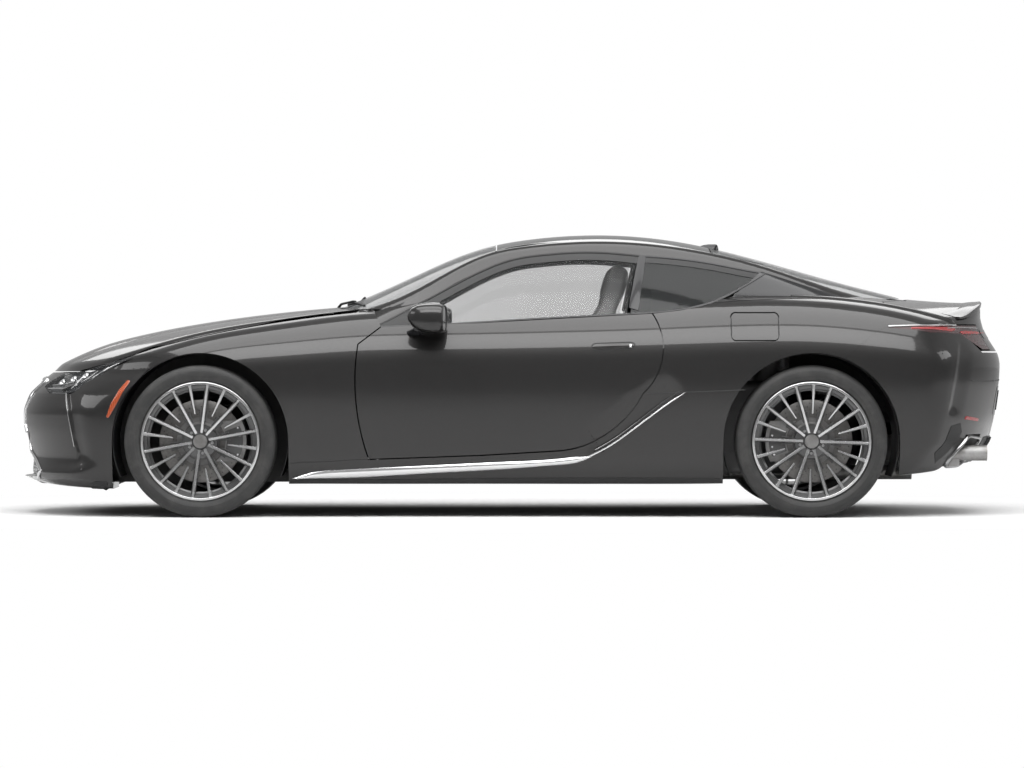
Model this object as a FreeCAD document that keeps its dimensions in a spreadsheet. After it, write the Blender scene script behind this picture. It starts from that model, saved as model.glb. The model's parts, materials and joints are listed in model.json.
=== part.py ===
import FreeCAD, Part
import math
import os

# Coupe car, built in body-drawing axes: +X to the rear, +Y to the car's right, +Z up.
# The origin is on the ground, midway along the length and the width. Millimetres throughout.

V = FreeCAD.Vector
DOC = FreeCAD.newDocument("coupe")

# ---------------------------------------------------------------- driving dimensions

DIMENSIONS = (
    ("overall_length", 4760, "nose to tail"),
    ("overall_width", 1920, "across the rear haunches, without mirrors"),
    ("overall_height", 1345, "ground to the crown of the roof"),
    ("wheelbase", 2870, "front axle to rear axle"),
    ("front_overhang", 920, "nose to front axle"),
    ("ground_clearance", 156, "ground to the sill"),
    ("front_track", 1606, "between the middles of the front tyres"),
    ("rear_track", 1610, "between the middles of the rear tyres"),
    ("tyre_radius", 358, "rolling radius of all four tyres"),
    ("front_tyre_width", 245, "section width"),
    ("rear_tyre_width", 275, "section width"),
    ("bead_radius", 266, "bead seat of the rim"),
    ("rim_flange", 14, "height of the flange above the bead seat"),
    ("rim_wall", 10, "thickness of the barrel"),
    ("spoke_depth", 26, "depth of a spoke"),
    ("spoke_width", 18, "width of a spoke"),
    ("spoke_setback", 18, "face of the spokes inside the tyre's sidewall"),
    ("hub_radius", 78, "wheel centre"),
    ("spindle_radius", 32, "stub axle in the wheel's hub"),
    ("running_clearance", 0.05, "hub on its stub axle"),
    ("disc_radius", 196, "brake disc"),
    ("disc_thickness", 32, "brake disc"),
    ("disc_inset", 76, "outboard face of the disc inside the tyre's sidewall"),
    ("caliper_clearance", 5, "disc to caliper"),
    ("caliper_wall", 15, "each side of a caliper"),
    ("kingpin_radius", 22, "steering post of the front knuckles"),
    ("kingpin_inset", 30, "steering axis inside the middle of the front tyre"),
    ("caliper_inner_radius", 118, "inside of a caliper from the axle"),
    ("caliper_length", 190, "upright length of a caliper"),
    ("knuckle_height", 220, "lower arm to upper arm"),
    ("arm_width", 60, "suspension arms"),
    ("arm_thickness", 24, "suspension arms"),
    ("mounting_plate", 12, "plates that carry the arms"),
    ("cross_member", 50, "height of the rear cross member"),
    ("arch_clearance", 57, "tyre tread to the edge of the wheel arch"),
    ("shut_gap", 6, "gap round a door or a lid"),
    ("seat_gap", 0.3, "between a piece and what it is seated on"),
    ("door_thickness", 130, "outer skin to inner trim"),
    ("door_edge", 25, "thickness of the door's edge"),
    ("door_edge_width", 24, "how far the edge stands past the thick middle"),
    ("door_rebate", 10, "how far the door shut lies behind the door's edge"),
    ("panel_wall", 40, "bumpers, wings, bonnet and boot lid with their frames"),
    ("pillar_wall", 60, "roof rails and pillars"),
    ("roof_wall", 30, "roof panel"),
    ("glass_wall", 6, "all windows"),
    ("screen_margin", 25, "edge of the screens inside the roof rail"),
    ("grille_recess", 12, "grille behind the bumper's skin"),
    ("grille_depth", 20, "thickness of the grille"),
    ("flap_wall", 8, "fuel flap"),
    ("floor_wall", 40, "floor pan with its tray"),
    ("trim_clearance", 20, "dashboard and seats to the door's inner trim"),
    ("frame_half_width", 475, "engine bay and boot side walls from the middle"),
    ("frame_wall", 18, "thickness of the inner walls"),
    ("stop_radius", 12, "rubber stops under the lids"),
    ("boot_floor", 440, "ground to the boot's floor"),
    ("engine_length", 640, "engine block"),
    ("engine_width", 600, "engine block"),
    ("engine_height", 450, "engine block"),
    ("seat_width", 472, "front seat"),
    ("seat_offset", 370, "middle of a front seat from the middle of the car"),
    ("steering_wheel_radius", 178, "middle of the steering wheel's rim"),
    ("steering_wheel_grip", 14, "radius of the rim's section"),
    ("exhaust_radius", 32, "exhaust pipes"),
    ("exhaust_wall", 4, "exhaust tips"),
    ("exhaust_spread", 120, "each pipe from the middle"),
    ("exhaust_tip_spread", 560, "each pair of tips from the middle"),
)

SHEET = DOC.addObject("Spreadsheet::Sheet", "Dims")
for line, (alias, number, meaning) in enumerate(DIMENSIONS, start=1):
    SHEET.set(f"A{line}", meaning)
    SHEET.set(f"B{line}", str(number))
    SHEET.setAlias(f"B{line}", alias)
DOC.recompute()


class Size:
    """A number together with the sheet formula that gives it, so that properties can be bound."""

    def __init__(self, number, text):
        self.number, self.text = float(number), text

    def __float__(self):
        return self.number

    def join(self, sign, other, number, swapped=False):
        there = other.text if isinstance(other, Size) else f"{float(other):.6f}"
        first, last = (there, self.text) if swapped else (self.text, there)
        return Size(number, f"({first} {sign} {last})")

    def __add__(self, other):
        return self.join("+", other, self.number + float(other))

    def __radd__(self, other):
        return self.join("+", other, float(other) + self.number, True)

    def __sub__(self, other):
        return self.join("-", other, self.number - float(other))

    def __rsub__(self, other):
        return self.join("-", other, float(other) - self.number, True)

    def __mul__(self, other):
        return self.join("*", other, self.number * float(other))

    def __rmul__(self, other):
        return self.join("*", other, float(other) * self.number, True)

    def __truediv__(self, other):
        return self.join("/", other, self.number / float(other))

    def __neg__(self):
        return self * -1


def size(alias):
    return Size(SHEET.get(alias), "Dims." + alias)


# The body drawing: the tables below are drawn at these values, and follow the sheet from them.
DRAWN = {
    "front_axle": -1460.0,
    "rear_axle": 1410.0,
    "front_overhang": 920.0,
    "rear_overhang": 970.0,
    "half_width": 960.0,
    "clearance": 156.0,
    "height": 1345.0,
}

REAR_OVERHANG = size("overall_length") - size("front_overhang") - size("wheelbase")
FRONT_AXLE_X = size("front_overhang") - size("overall_length") / 2
REAR_AXLE_X = FRONT_AXLE_X + size("wheelbase")
AXLE_Z = size("tyre_radius")
ARCH_RADIUS = size("tyre_radius") + size("arch_clearance")


def along(x):
    """A drawn length along the car, stretched with the overhangs and the wheelbase."""
    if x < DRAWN["front_axle"]:
        return FRONT_AXLE_X + (x - DRAWN["front_axle"]) * (size("front_overhang") / DRAWN["front_overhang"])
    if x <= DRAWN["rear_axle"]:
        drawn_base = DRAWN["rear_axle"] - DRAWN["front_axle"]
        return FRONT_AXLE_X + (x - DRAWN["front_axle"]) * (size("wheelbase") / drawn_base)
    return REAR_AXLE_X + (x - DRAWN["rear_axle"]) * (REAR_OVERHANG / DRAWN["rear_overhang"])


def across(y):
    """A drawn half width, stretched with the overall width."""
    return y * (size("overall_width") / (2 * DRAWN["half_width"]))


def up(z):
    """A drawn height, stretched between the sill and the roof."""
    body = (size("overall_height") - size("ground_clearance")) / (DRAWN["height"] - DRAWN["clearance"])
    return size("ground_clearance") + (z - DRAWN["clearance"]) * body


def at(x, y, z):
    return V(float(along(x)), float(across(y)), float(up(z)))


# ---------------------------------------------------------------- body drawing

# Sections of the lower body, front to rear. Columns: x, foot y, foot z, sill y, sill z,
# widest y, widest z, shoulder y, shoulder z, crown z.
LOWER = (
    (-2400, 600, 150, 660, 235, 745, 372, 640, 515, 600),
    (-2200, 705, 140, 765, 235, 802, 422, 650, 612, 712),
    (-2000, 800, 133, 850, 235, 868, 468, 675, 702, 802),
    (-1800, 845, 133, 892, 235, 918, 542, 735, 772, 858),
    (-1460, 868, 145, 915, 240, 945, 648, 768, 868, 922),
    (-1100, 852, 156, 898, 245, 930, 682, 728, 930, 969),
    (-700, 835, 156, 880, 250, 908, 700, 692, 978, 1001),
    (-300, 828, 156, 872, 250, 900, 704, 684, 990, 1010),
    (150, 830, 156, 874, 250, 902, 708, 684, 1002, 1022),
    (600, 843, 156, 888, 250, 918, 718, 690, 1018, 1040),
    (1050, 868, 160, 915, 252, 948, 730, 700, 1043, 1062),
    (1410, 882, 175, 930, 262, 960, 735, 694, 1044, 1066),
    (1700, 868, 192, 915, 275, 953, 718, 690, 1016, 1052),
    (1950, 835, 205, 882, 290, 924, 698, 690, 966, 1030),
    (2150, 780, 232, 830, 315, 880, 672, 676, 908, 1017),
    (2400, 690, 292, 750, 370, 812, 636, 640, 846, 1016),
)

# Sections of the cabin above the belt. Columns: x, base y, base z, rail y, rail z, crown z.
UPPER = (
    (-900, 840, 820, 742, 862, 952),
    (-650, 835, 860, 692, 985, 1064),
    (-400, 828, 860, 642, 1094, 1178),
    (-100, 822, 860, 592, 1244, 1290),
    (150, 820, 860, 572, 1286, 1331),
    (400, 818, 860, 562, 1300, 1345),
    (750, 808, 870, 558, 1278, 1322),
    (1100, 775, 885, 548, 1212, 1250),
    (1400, 732, 895, 532, 1118, 1168),
    (1650, 702, 900, 515, 1040, 1099),
    (1900, 655, 905, 500, 976, 1035),
    (2000, 640, 880, 490, 940, 1000),
)
SHOULDER_SLOPE = 0.97  # most that a shoulder may reach in for its height, so that its arc stands upright
SIDE_BULGE = 10.0  # how far the cabin's side bows out between belt and rail
RAIL_ROUND = 34.0  # rounding of the roof rail, measured along each side of the corner

# Profile of the nose on the centreline, bottom to top, and the plan radius that it sweeps round.
NOSE_RADIUS = 1150.0
NOSE = ((-2270, 60), (-2277, 135), (-2368, 178), (-2373, 205), (-2354, 262), (-2372, 400),
        (-2380, 500), (-2349, 579), (-2275, 646), (-2218, 690), (-2210, 760), (-2215, 1300))
# Profile of the tail on the centreline, bottom to top.
TAIL_RADIUS = 1350.0
TAIL = ((2150, 60), (2236, 229), (2323, 348), (2350, 455), (2376, 640), (2380, 720), (2370, 768),
        (2303, 872), (2284, 940), (2286, 1010), (2290, 1200))


def arc_edge(start, middle, end):
    return Part.Arc(start, middle, end).toShape()


def line_edge(start, end):
    return Part.LineSegment(start, end).toShape()


def upright_arc(x, wide, other):
    """Arc from the widest point, where it stands upright, to another point of the same section."""
    (wy, wz), (oy, oz) = wide, other
    centre = (wy * wy - oy * oy - (oz - wz) ** 2) / (2 * (wy - oy))
    radius = wy - centre
    half = math.atan2(oz - wz, oy - centre) / 2
    return V(x, centre + radius * math.cos(half), wz + radius * math.sin(half))


def flip(point):
    return V(point.x, -point.y, point.z)


def lower_section(row, side, top, floor):
    """Closed section wire of the lower body, drawn in by a wall at its side, top and floor."""
    x, foot_y, foot_z, sill_y, sill_z, wide_y, wide_z, edge_y, edge_z, crown_z = row
    place = at(x, 0, 0).x
    foot = V(place, float(across(foot_y)) - side, float(up(foot_z)) + floor)
    sill = V(place, float(across(sill_y)) - side, float(up(sill_z)) + floor / 2)
    wide = V(place, float(across(wide_y)) - side, float(up(wide_z)))
    edge = V(place, float(across(edge_y)) - side * 0.7, float(up(edge_z)) - top)
    edge.y = max(edge.y, wide.y - SHOULDER_SLOPE * (edge.z - wide.z))
    crown = V(place, 0, float(up(crown_z)) - top)
    low = upright_arc(place, (wide.y, wide.z), (sill.y, sill.z))
    high = upright_arc(place, (wide.y, wide.z), (edge.y, edge.z))
    edges = [
        line_edge(flip(foot), foot),
        line_edge(foot, sill),
        arc_edge(sill, low, wide),
        arc_edge(wide, high, edge),
        arc_edge(edge, crown, flip(edge)),
        arc_edge(flip(edge), flip(high), flip(wide)),
        arc_edge(flip(wide), flip(low), flip(sill)),
        line_edge(flip(sill), flip(foot)),
    ]
    return Part.Wire(edges)


def upper_section(row, wall):
    """Closed section wire of the cabin, drawn in by a wall."""
    x, base_y, base_z, rail_y, rail_z, crown_z = row
    place = at(x, 0, 0).x
    base = V(place, float(across(base_y)) - wall, float(up(base_z)) - wall)
    rail = V(place, float(across(rail_y)) - wall * 0.8, float(up(rail_z)) - wall * 0.8)
    crown = V(place, 0, float(up(crown_z)) - wall)
    down = (base - rail).normalize()
    sweep = (rail.y ** 2 + (crown.z - rail.z) ** 2) / (2 * (crown.z - rail.z))
    lean = math.asin(rail.y / sweep)
    inward = V(0, -math.cos(lean), math.sin(lean))
    below, above = rail + down * RAIL_ROUND, rail + inward * RAIL_ROUND
    split = (down + inward).normalize()
    half = down.getAngle(inward) / 2
    centre = rail + split * (RAIL_ROUND / math.cos(half))
    corner = centre - split * (RAIL_ROUND * math.tan(half))
    outward = V(0, -down.z, down.y)
    side = (base + below) * 0.5 + outward * SIDE_BULGE
    edges = [
        line_edge(flip(base), base),
        arc_edge(base, side, below),
        arc_edge(below, corner, above),
        arc_edge(above, crown, flip(above)),
        arc_edge(flip(above), flip(corner), flip(below)),
        arc_edge(flip(below), flip(side), flip(base)),
    ]
    return Part.Wire(edges)


def swept_end(profile, radius, inset, sign):
    """Solid bounded by an end profile of the car turned about an upright axis behind it."""
    centre = at(profile[6][0] - sign * radius, 0, 0).x
    rim = [V(at(x, 0, 0).x - sign * inset, 0, float(up(z))) for x, z in profile]
    rim = [V(centre, 0, rim[0].z), *rim, V(centre, 0, rim[-1].z)]
    face = Part.Face(Part.makePolygon([*rim, rim[0]]))
    reach, low, high = 4000.0, rim[0].z, rim[-1].z
    corner = V(centre if sign < 0 else centre - reach, -reach / 2, low)
    return face.revolve(V(centre, 0, 0), V(0, 0, 1), 360).fuse(Part.makeBox(reach, reach, high - low, corner))


def lower_volume(side=0.0, top=None, floor=None, ends=None):
    """The whole lower body as one solid, drawn in by the given walls."""
    top = side if top is None else top
    floor = side if floor is None else floor
    ends = side if ends is None else ends
    body = Part.makeLoft([lower_section(row, side, top, floor) for row in LOWER], True, False)
    body = body.common(swept_end(NOSE, NOSE_RADIUS, ends, -1))
    return body.common(swept_end(TAIL, TAIL_RADIUS, ends, 1))


def upper_volume(wall=0.0):
    """The cabin above the belt as one solid, drawn in by a wall."""
    return Part.makeLoft([upper_section(row, wall) for row in UPPER], True, False)


# ---------------------------------------------------------------- outlines of the panels

# Side views, drawn on the left of the car as x, z. A pair of points is an arc: through, to.
DOOR = ((-612, 893), (-146, 913), (663, 957), ((711, 800), (616, 583)), ((481, 416), (229, 316)),
        (-146, 294), (-667, 275), ((-727, 560), (-717, 812)))
BONNET = ((-2450, 684), (-2059, 684), (-1843, 757), (-1695, 806), ((-1132, 926), (-654, 985)),
          (-654, 1400), (-2450, 1400))
WING = ((-1046, 258), (-640, 274), (-612, 893), (-654, 985), (-654, 1060), (-1900, 1060), (-1805, 764),
        (-1714, 763), (-1595, 739), (-1460, 500), (-1046, 400))
FRONT_BUMPER = ((-2450, 60), (-1460, 60), (-1460, 500), (-1595, 739), (-1714, 763), (-1805, 764),
                (-1849, 900), (-2450, 900))
HEADLAMP = ((-2238, 612), ((-2150, 668), (-2020, 694)), (-1790, 754), (-1935, 672), (-2020, 628),
            ((-2066, 592), (-2120, 578)), (-2205, 582))
BODY_SIDE = ((-1046, 60), (-1046, 985), (-654, 985), (-612, 893), (0, 600), (663, 957), (800, 973), (921, 998),
             (1058, 1058), (1100, 1300), (1900, 1300), (2420, 1100), (2420, 893), (1762, 893),
             (1712, 872), (1557, 742), (1410, 500), (1410, 60))
REAR_BUMPER = ((1410, 60), (1410, 500), (1557, 742), (1712, 872), (1762, 893), (2450, 893), (2450, 60))
TAIL_LAMP = ((1766, 893), (2110, 903), (2420, 903), (2420, 790), (2250, 790), (2130, 862), (1900, 880))
BOOT_LID = ((1640, 1300), (1640, 1000), (2033, 950), (2111, 903), (2250, 780), (2450, 780), (2450, 1300))
FUEL_FLAP = ((1036, 860), ((1041, 839), (1062, 834)), (1226, 834), ((1247, 839), (1252, 860)),
             (1252, 933), ((1247, 954), (1226, 959)), (1062, 959), ((1041, 954), (1036, 933)))
DOOR_GLASS = ((-575, 860), (556, 910), (556, 985), (606, 1233), ((393, 1250), (154, 1238)),
              ((-133, 1166), (-334, 1062)), (-575, 938))
# Upper part of a door, where its full thickness carries the window.
DOOR_BELT = ((-560, 870), (600, 920), (600, 1000), (-560, 1000))
# Below the windows and ahead of the rear quarter there is no roof frame.
BELT_ROOM = ((-654, 800), (-612, 893), (-146, 913), (663, 957), (921, 998), (1058, 1058), (1058, 800))
# Upper edge of the walls beside the engine.
BAY_WALL = ((-2150, 100), (-2150, 610), (-1800, 750), (-1460, 825), (-700, 880), (-700, 100))
QUARTER_GLASS = ((566, 953), (663, 957), (800, 973), (921, 998), (1058, 1058), (1208, 1149),
                 ((960, 1195), (616, 1233)), (566, 985))
# Plan views as x, y of one half, closed on the centreline.
BONNET_PLAN = ((-2450, 0), (-2450, 900), (-655, 900), (-655, 700), (-790, 480), (-850, 240), (-872, 0))
SCREEN_FOOT, SCREEN_TOP, ROOF_FRONT, ROOF_REAR = -900, -75, -68, 950
REAR_SCREEN_TOP, REAR_SCREEN_END = 957, 1880
SCUTTLE_PLAN = ((-640, 0), (-640, 590), (-750, 590), (-900, 0))
LID_PLAN = ((2500, 0), (2500, 650), (1770, 650), (1770, 600), (1905, 300), (1915, 0))
# Front view of the grille as y, z of one half.
GRILLE = ((0, 648), (300, 640), (318, 560), (262, 430), (340, 300), (520, 212), (470, 178), (0, 178))


def outline(points, place):
    """Face inside a closed outline of straight lines and arcs."""
    spots = [place(*points[0])]
    edges = []
    for step in points[1:]:
        if isinstance(step[0], tuple):
            through, end = (place(*point) for point in step)
            edges.append(arc_edge(spots[-1], through, end))
        else:
            end = place(*step)
            edges.append(line_edge(spots[-1], end))
        spots.append(end)
    edges.append(line_edge(spots[-1], spots[0]))
    return Part.Face(Part.Wire(edges))


def side_region(points, grow=0.0, inner=0.0, both=False):
    """Everything across the left half of the car inside a side outline, or across the whole car."""
    face = outline(points, lambda x, z: at(x, 0, z))
    if grow:
        face = face.makeOffset2D(float(grow))
    reach = 1200.0
    face.translate(V(0, reach if both else -inner, 0))
    return face.extrude(V(0, -(2 * reach if both else reach - inner), 0))


def plan_region(points, low=-10.0, high=1600.0, grow=0.0):
    """Everything above and below a plan outline, given as one half and mirrored across the car."""
    half = [at(x, y, 0) for x, y in points]
    other = [flip(point) for point in reversed(half) if point.y > 0]
    wire = Part.makePolygon([*half, *other, half[0]])
    face = Part.Face(wire)
    if grow:
        face = face.makeOffset2D(float(grow))
    face.translate(V(0, 0, low - face.BoundBox.ZMin))
    return face.extrude(V(0, 0, high - low))


def block(x0, x1, y0, y1, z0, z1):
    return Part.makeBox(x1 - x0, y1 - y0, z1 - z0, V(x0, y0, z0))


def drawn_block(x0, x1, half_width, z0, z1, inner=0.0):
    """Block across the whole car, or on its left side outside an inner plane."""
    low, high = at(x0, 0, z0), at(x1, 0, z1)
    if inner:
        return block(low.x, high.x, -float(half_width), -float(inner), low.z, high.z)
    return block(low.x, high.x, -float(half_width), float(half_width), low.z, high.z)


def arch(axle):
    """Space of a left wheel arch, open below."""
    x, radius, depth = float(axle), float(ARCH_RADIUS), 1200.0
    round_part = Part.makeCylinder(radius, depth, V(x, -depth, float(AXLE_Z)), V(0, 1, 0))
    return round_part.fuse(block(x - radius, x + radius, -depth, 0, -50, float(AXLE_Z)))


def mirrored(shape):
    return shape.mirror(V(0, 0, 0), V(0, 1, 0))


def one_solid(shape):
    """The largest solid of a result, without slivers left by a cut."""
    return max(shape.Solids, key=lambda solid: solid.Volume)


NODES = {}


def keep(name, shape):
    """Adds a computed shape to the document as the sub-part of that name."""
    piece = DOC.addObject("Part::Feature", name)
    piece.Label = name
    piece.Shape = shape
    NODES[name] = piece
    return piece


def keep_pair(name, left):
    keep(name + "_left", left)
    keep(name + "_right", mirrored(left))


# ---------------------------------------------------------------- body panels

GAP = float(size("shut_gap"))
SEAT = float(size("seat_gap"))
WALL = float(size("panel_wall"))
DOOR_WALL = float(size("door_thickness"))
FLOOR = float(size("floor_wall"))
DOOR_TOP = 60.0

SKIN = lower_volume()
WALLED = SKIN.cut(lower_volume(WALL))
MID_SKIN = Part.makeLoft([lower_section(row, 0, 0, 0) for row in LOWER], True, False)


def mid_volume(side, top, floor):
    """Lower body drawn in by the given walls, without the shaping of its two ends."""
    return Part.makeLoft([lower_section(row, side, top, floor) for row in LOWER], True, False)


CABIN_HOLLOW = mid_volume(DOOR_WALL, DOOR_TOP, FLOOR)
SHELL = MID_SKIN.cut(CABIN_HOLLOW)
CABIN = upper_volume()
FRONT_ARCH, REAR_ARCH = arch(FRONT_AXLE_X), arch(REAR_AXLE_X)


def build_lower_panels():
    bonnet_side = side_region(BONNET, both=True)
    bonnet_plan = plan_region(BONNET_PLAN)
    bonnet = WALLED.common(bonnet_side).common(bonnet_plan)
    keep("bonnet", one_solid(bonnet))
    bonnet_room = side_region(BONNET, GAP, both=True).common(plan_region(BONNET_PLAN, grow=GAP))

    lamp_inner = float(across(350))
    lamp = side_region(HEADLAMP, inner=lamp_inner)
    lamp_room = side_region(HEADLAMP, SEAT, inner=lamp_inner - SEAT)
    left_lamp = one_solid(WALLED.common(lamp).cut(bonnet_room))
    keep("headlamps", Part.makeCompound([left_lamp, mirrored(left_lamp)]))

    door_room = side_region(DOOR, GAP)
    wing = WALLED.common(side_region(WING, inner=float(across(600))))
    wing = wing.cut(bonnet_room).cut(door_room).cut(FRONT_ARCH)
    wing = wing.cut(lamp_room).cut(CABIN)
    keep_pair("wing", one_solid(wing))

    bumper = WALLED.common(side_region(FRONT_BUMPER, -SEAT, both=True)).cut(bonnet_room)
    for side in (lambda shape: shape, mirrored):
        bumper = bumper.cut(side(lamp_room)).cut(side(FRONT_ARCH))
    grille_half = [V(-3000, float(across(y)), float(up(z))) for y, z in GRILLE]
    grille_rim = [*grille_half, *(flip(point) for point in reversed(grille_half) if point.y > 0)]
    grille_face = Part.Face(Part.makePolygon([*grille_rim, grille_rim[0]]))
    grille_room = grille_face.makeOffset2D(SEAT).extrude(V(1200, 0, 0))
    tray_room = drawn_block(-1950, -1000, float(size("frame_half_width")) + GAP, 60, 400)
    keep("front_bumper", one_solid(bumper.cut(grille_room).cut(tray_room)))
    recess = float(size("grille_recess"))
    grille = swept_end(NOSE, NOSE_RADIUS, recess, -1).common(grille_face.extrude(V(1200, 0, 0)))
    grille = grille.cut(swept_end(NOSE, NOSE_RADIUS, recess + float(size("grille_depth")), -1))
    keep("grille", one_solid(grille))


def build_rear_panels():
    lamp_inner = float(across(400))
    lamp = side_region(TAIL_LAMP, inner=lamp_inner)
    lamp_room = side_region(TAIL_LAMP, SEAT, inner=lamp_inner - SEAT)
    left_lamp = one_solid(WALLED.common(lamp))
    keep("tail_lamps", Part.makeCompound([left_lamp, mirrored(left_lamp)]))
    lid_room = side_region(BOOT_LID, GAP, both=True)
    lid_plan = plan_region(LID_PLAN)
    lid_plan_room = plan_region(LID_PLAN, grow=GAP)
    lamp_gap = side_region(TAIL_LAMP, GAP, inner=lamp_inner - GAP)
    lid = WALLED.common(side_region(BOOT_LID, both=True)).common(lid_plan)
    lid = lid.cut(lamp_gap).cut(mirrored(lamp_gap)).cut(upper_volume(-GAP))
    keep("boot_lid", one_solid(lid))
    lid_room = lid_room.common(lid_plan_room)
    bumper = WALLED.common(side_region(REAR_BUMPER, -SEAT, both=True)).cut(lid_room)
    for side in (lambda shape: shape, mirrored):
        bumper = bumper.cut(side(lamp_room)).cut(side(REAR_ARCH))
        bumper = bumper.cut(side(drawn_block(2100, 2500, across(655), 225, 385, across(470))))
    bumper = bumper.cut(drawn_block(1500, 2150, across(655), 0, 400))
    keep("rear_bumper", one_solid(bumper))
    return lid_room, lamp_room


# ---------------------------------------------------------------- body shell and doors


def build_sides(lid_room, lamp_room):
    """Body sides with their door shuts, the doors and the fuel flap."""
    edge = float(size("door_edge"))
    inner_line = float(across(690))
    inside_line = drawn_block(-1500, 1330, 1200, 0, 1400, inner_line)
    quarter_room = drawn_block(1330, 2600, 1200, 0, 1400, across(420))

    shut = side_region(DOOR, GAP).cut(side_region(DOOR, -float(size("door_rebate"))))
    shut = shut.common(drawn_block(300, 760, 1200, 200, 940, 1))
    door_room = side_region(DOOR, GAP).cut(shut.common(mid_volume(edge + SEAT, edge + SEAT, 0)))
    wing_room = side_region(WING, SEAT).cut(mid_volume(WALL + SEAT, WALL + SEAT, WALL + SEAT))
    side = SHELL.common(side_region(BODY_SIDE)).common(inside_line.fuse(quarter_room))
    bumper_room = side_region(REAR_BUMPER)
    for room in (door_room, wing_room, FRONT_ARCH, REAR_ARCH, lid_room, CABIN, bumper_room, lamp_room):
        side = side.cut(room)
    side = one_solid(side)

    flap_wall = float(size("flap_wall"))
    under_flap = mid_volume(flap_wall + SEAT, flap_wall + SEAT, 0)
    flap_room = side_region(FUEL_FLAP, GAP, inner=inner_line).cut(under_flap)
    keep("body_side_left", one_solid(side.cut(flap_room)))
    keep("body_side_right", mirrored(side))
    flap = MID_SKIN.common(side_region(FUEL_FLAP, inner=inner_line)).cut(mid_volume(flap_wall, flap_wall, 0))
    keep("fuel_flap", one_solid(flap))

    border = side_region(DOOR, 1.0).cut(side_region(DOOR, -float(size("door_edge_width"))))
    border = border.cut(side_region(DOOR_BELT)).common(mid_volume(edge, edge, 0))
    door = SHELL.common(side_region(DOOR, inner=float(across(500)))).cut(border)
    keep_pair("door", one_solid(door))


def rail_plan(x0, x1, margin):
    """Plan half outline between two lengths, a margin inside the roof rail."""
    inside = [(x, rail_y) for x, base_y, base_z, rail_y, rail_z, crown_z in UPPER if x0 < x < x1]

    def rail(x):
        for (xa, *_, ya, _, _), (xb, *_, yb, _, _) in zip(UPPER, UPPER[1:]):
            if xa <= x <= xb:
                return ya + (yb - ya) * (x - xa) / (xb - xa)
        return UPPER[-1][3]

    points = [(x0, rail(x0)), *inside, (x1, rail(x1))]
    return [(x, y - margin) for x, y in points]


def build_cabin():
    """Roof frame, roof panel and all windows."""
    glass = float(size("glass_wall"))
    margin = float(size("screen_margin"))
    glazing = CABIN.cut(upper_volume(glass))
    frame = CABIN.cut(upper_volume(float(size("pillar_wall"))))
    foot, end = SCREEN_FOOT, REAR_SCREEN_END
    opening = plan_region([(foot, 0), *rail_plan(foot + 1, end, margin), (end, 0)])
    screen_plan = [(foot, 0), *rail_plan(foot + 1, SCREEN_TOP, margin + SEAT), (SCREEN_TOP, 0)]
    rear_plan = [(REAR_SCREEN_TOP, 0), *rail_plan(REAR_SCREEN_TOP, end - 1, margin + SEAT), (end - 1, 0)]
    roof_plan = [(ROOF_FRONT, 0), *rail_plan(ROOF_FRONT, ROOF_REAR, margin + SEAT), (ROOF_REAR, 0)]
    keep("windscreen", one_solid(glazing.common(plan_region(screen_plan)).cut(MID_SKIN)))
    keep("rear_window", one_solid(glazing.common(plan_region(rear_plan)).cut(MID_SKIN)))
    roof_wall = float(size("roof_wall"))
    roof = CABIN.cut(upper_volume(roof_wall)).common(plan_region(roof_plan))
    keep("roof_panel", one_solid(roof))

    cross_bars = upper_volume(roof_wall + SEAT).cut(upper_volume(float(size("pillar_wall"))))
    spans = ((-70, 60), (860, 960))
    bars = [cross_bars.common(drawn_block(x0, x1, across(600), 1215, 1400)) for x0, x1 in spans]
    side_windows = side_region(DOOR_GLASS, SEAT, both=True).fuse(side_region(QUARTER_GLASS, SEAT, both=True))
    belt_room = side_region(BELT_ROOM, both=True)
    frame = frame.cut(opening).cut(side_windows).fuse(bars).cut(MID_SKIN).cut(belt_room)
    keep("roof_frame", one_solid(frame))

    door_glass = glazing.common(side_region(DOOR_GLASS, -GAP)).cut(side_region(DOOR, SEAT))
    door_glass = one_solid(door_glass)
    keep_pair("door_glass", door_glass)
    quarter = one_solid(glazing.common(side_region(QUARTER_GLASS)))
    keep("quarter_glass", Part.makeCompound([quarter, mirrored(quarter)]))


def under_panels():
    """Space inside the bumpers, the wings and the lids."""
    return lower_volume(WALL + SEAT)


def lid_stop(x, y, low):
    """Rubber stop that carries a closed lid; the space under the lid trims its top."""
    return Part.makeCylinder(float(size("stop_radius")), 800, V(float(along(x)), y, low))


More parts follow.
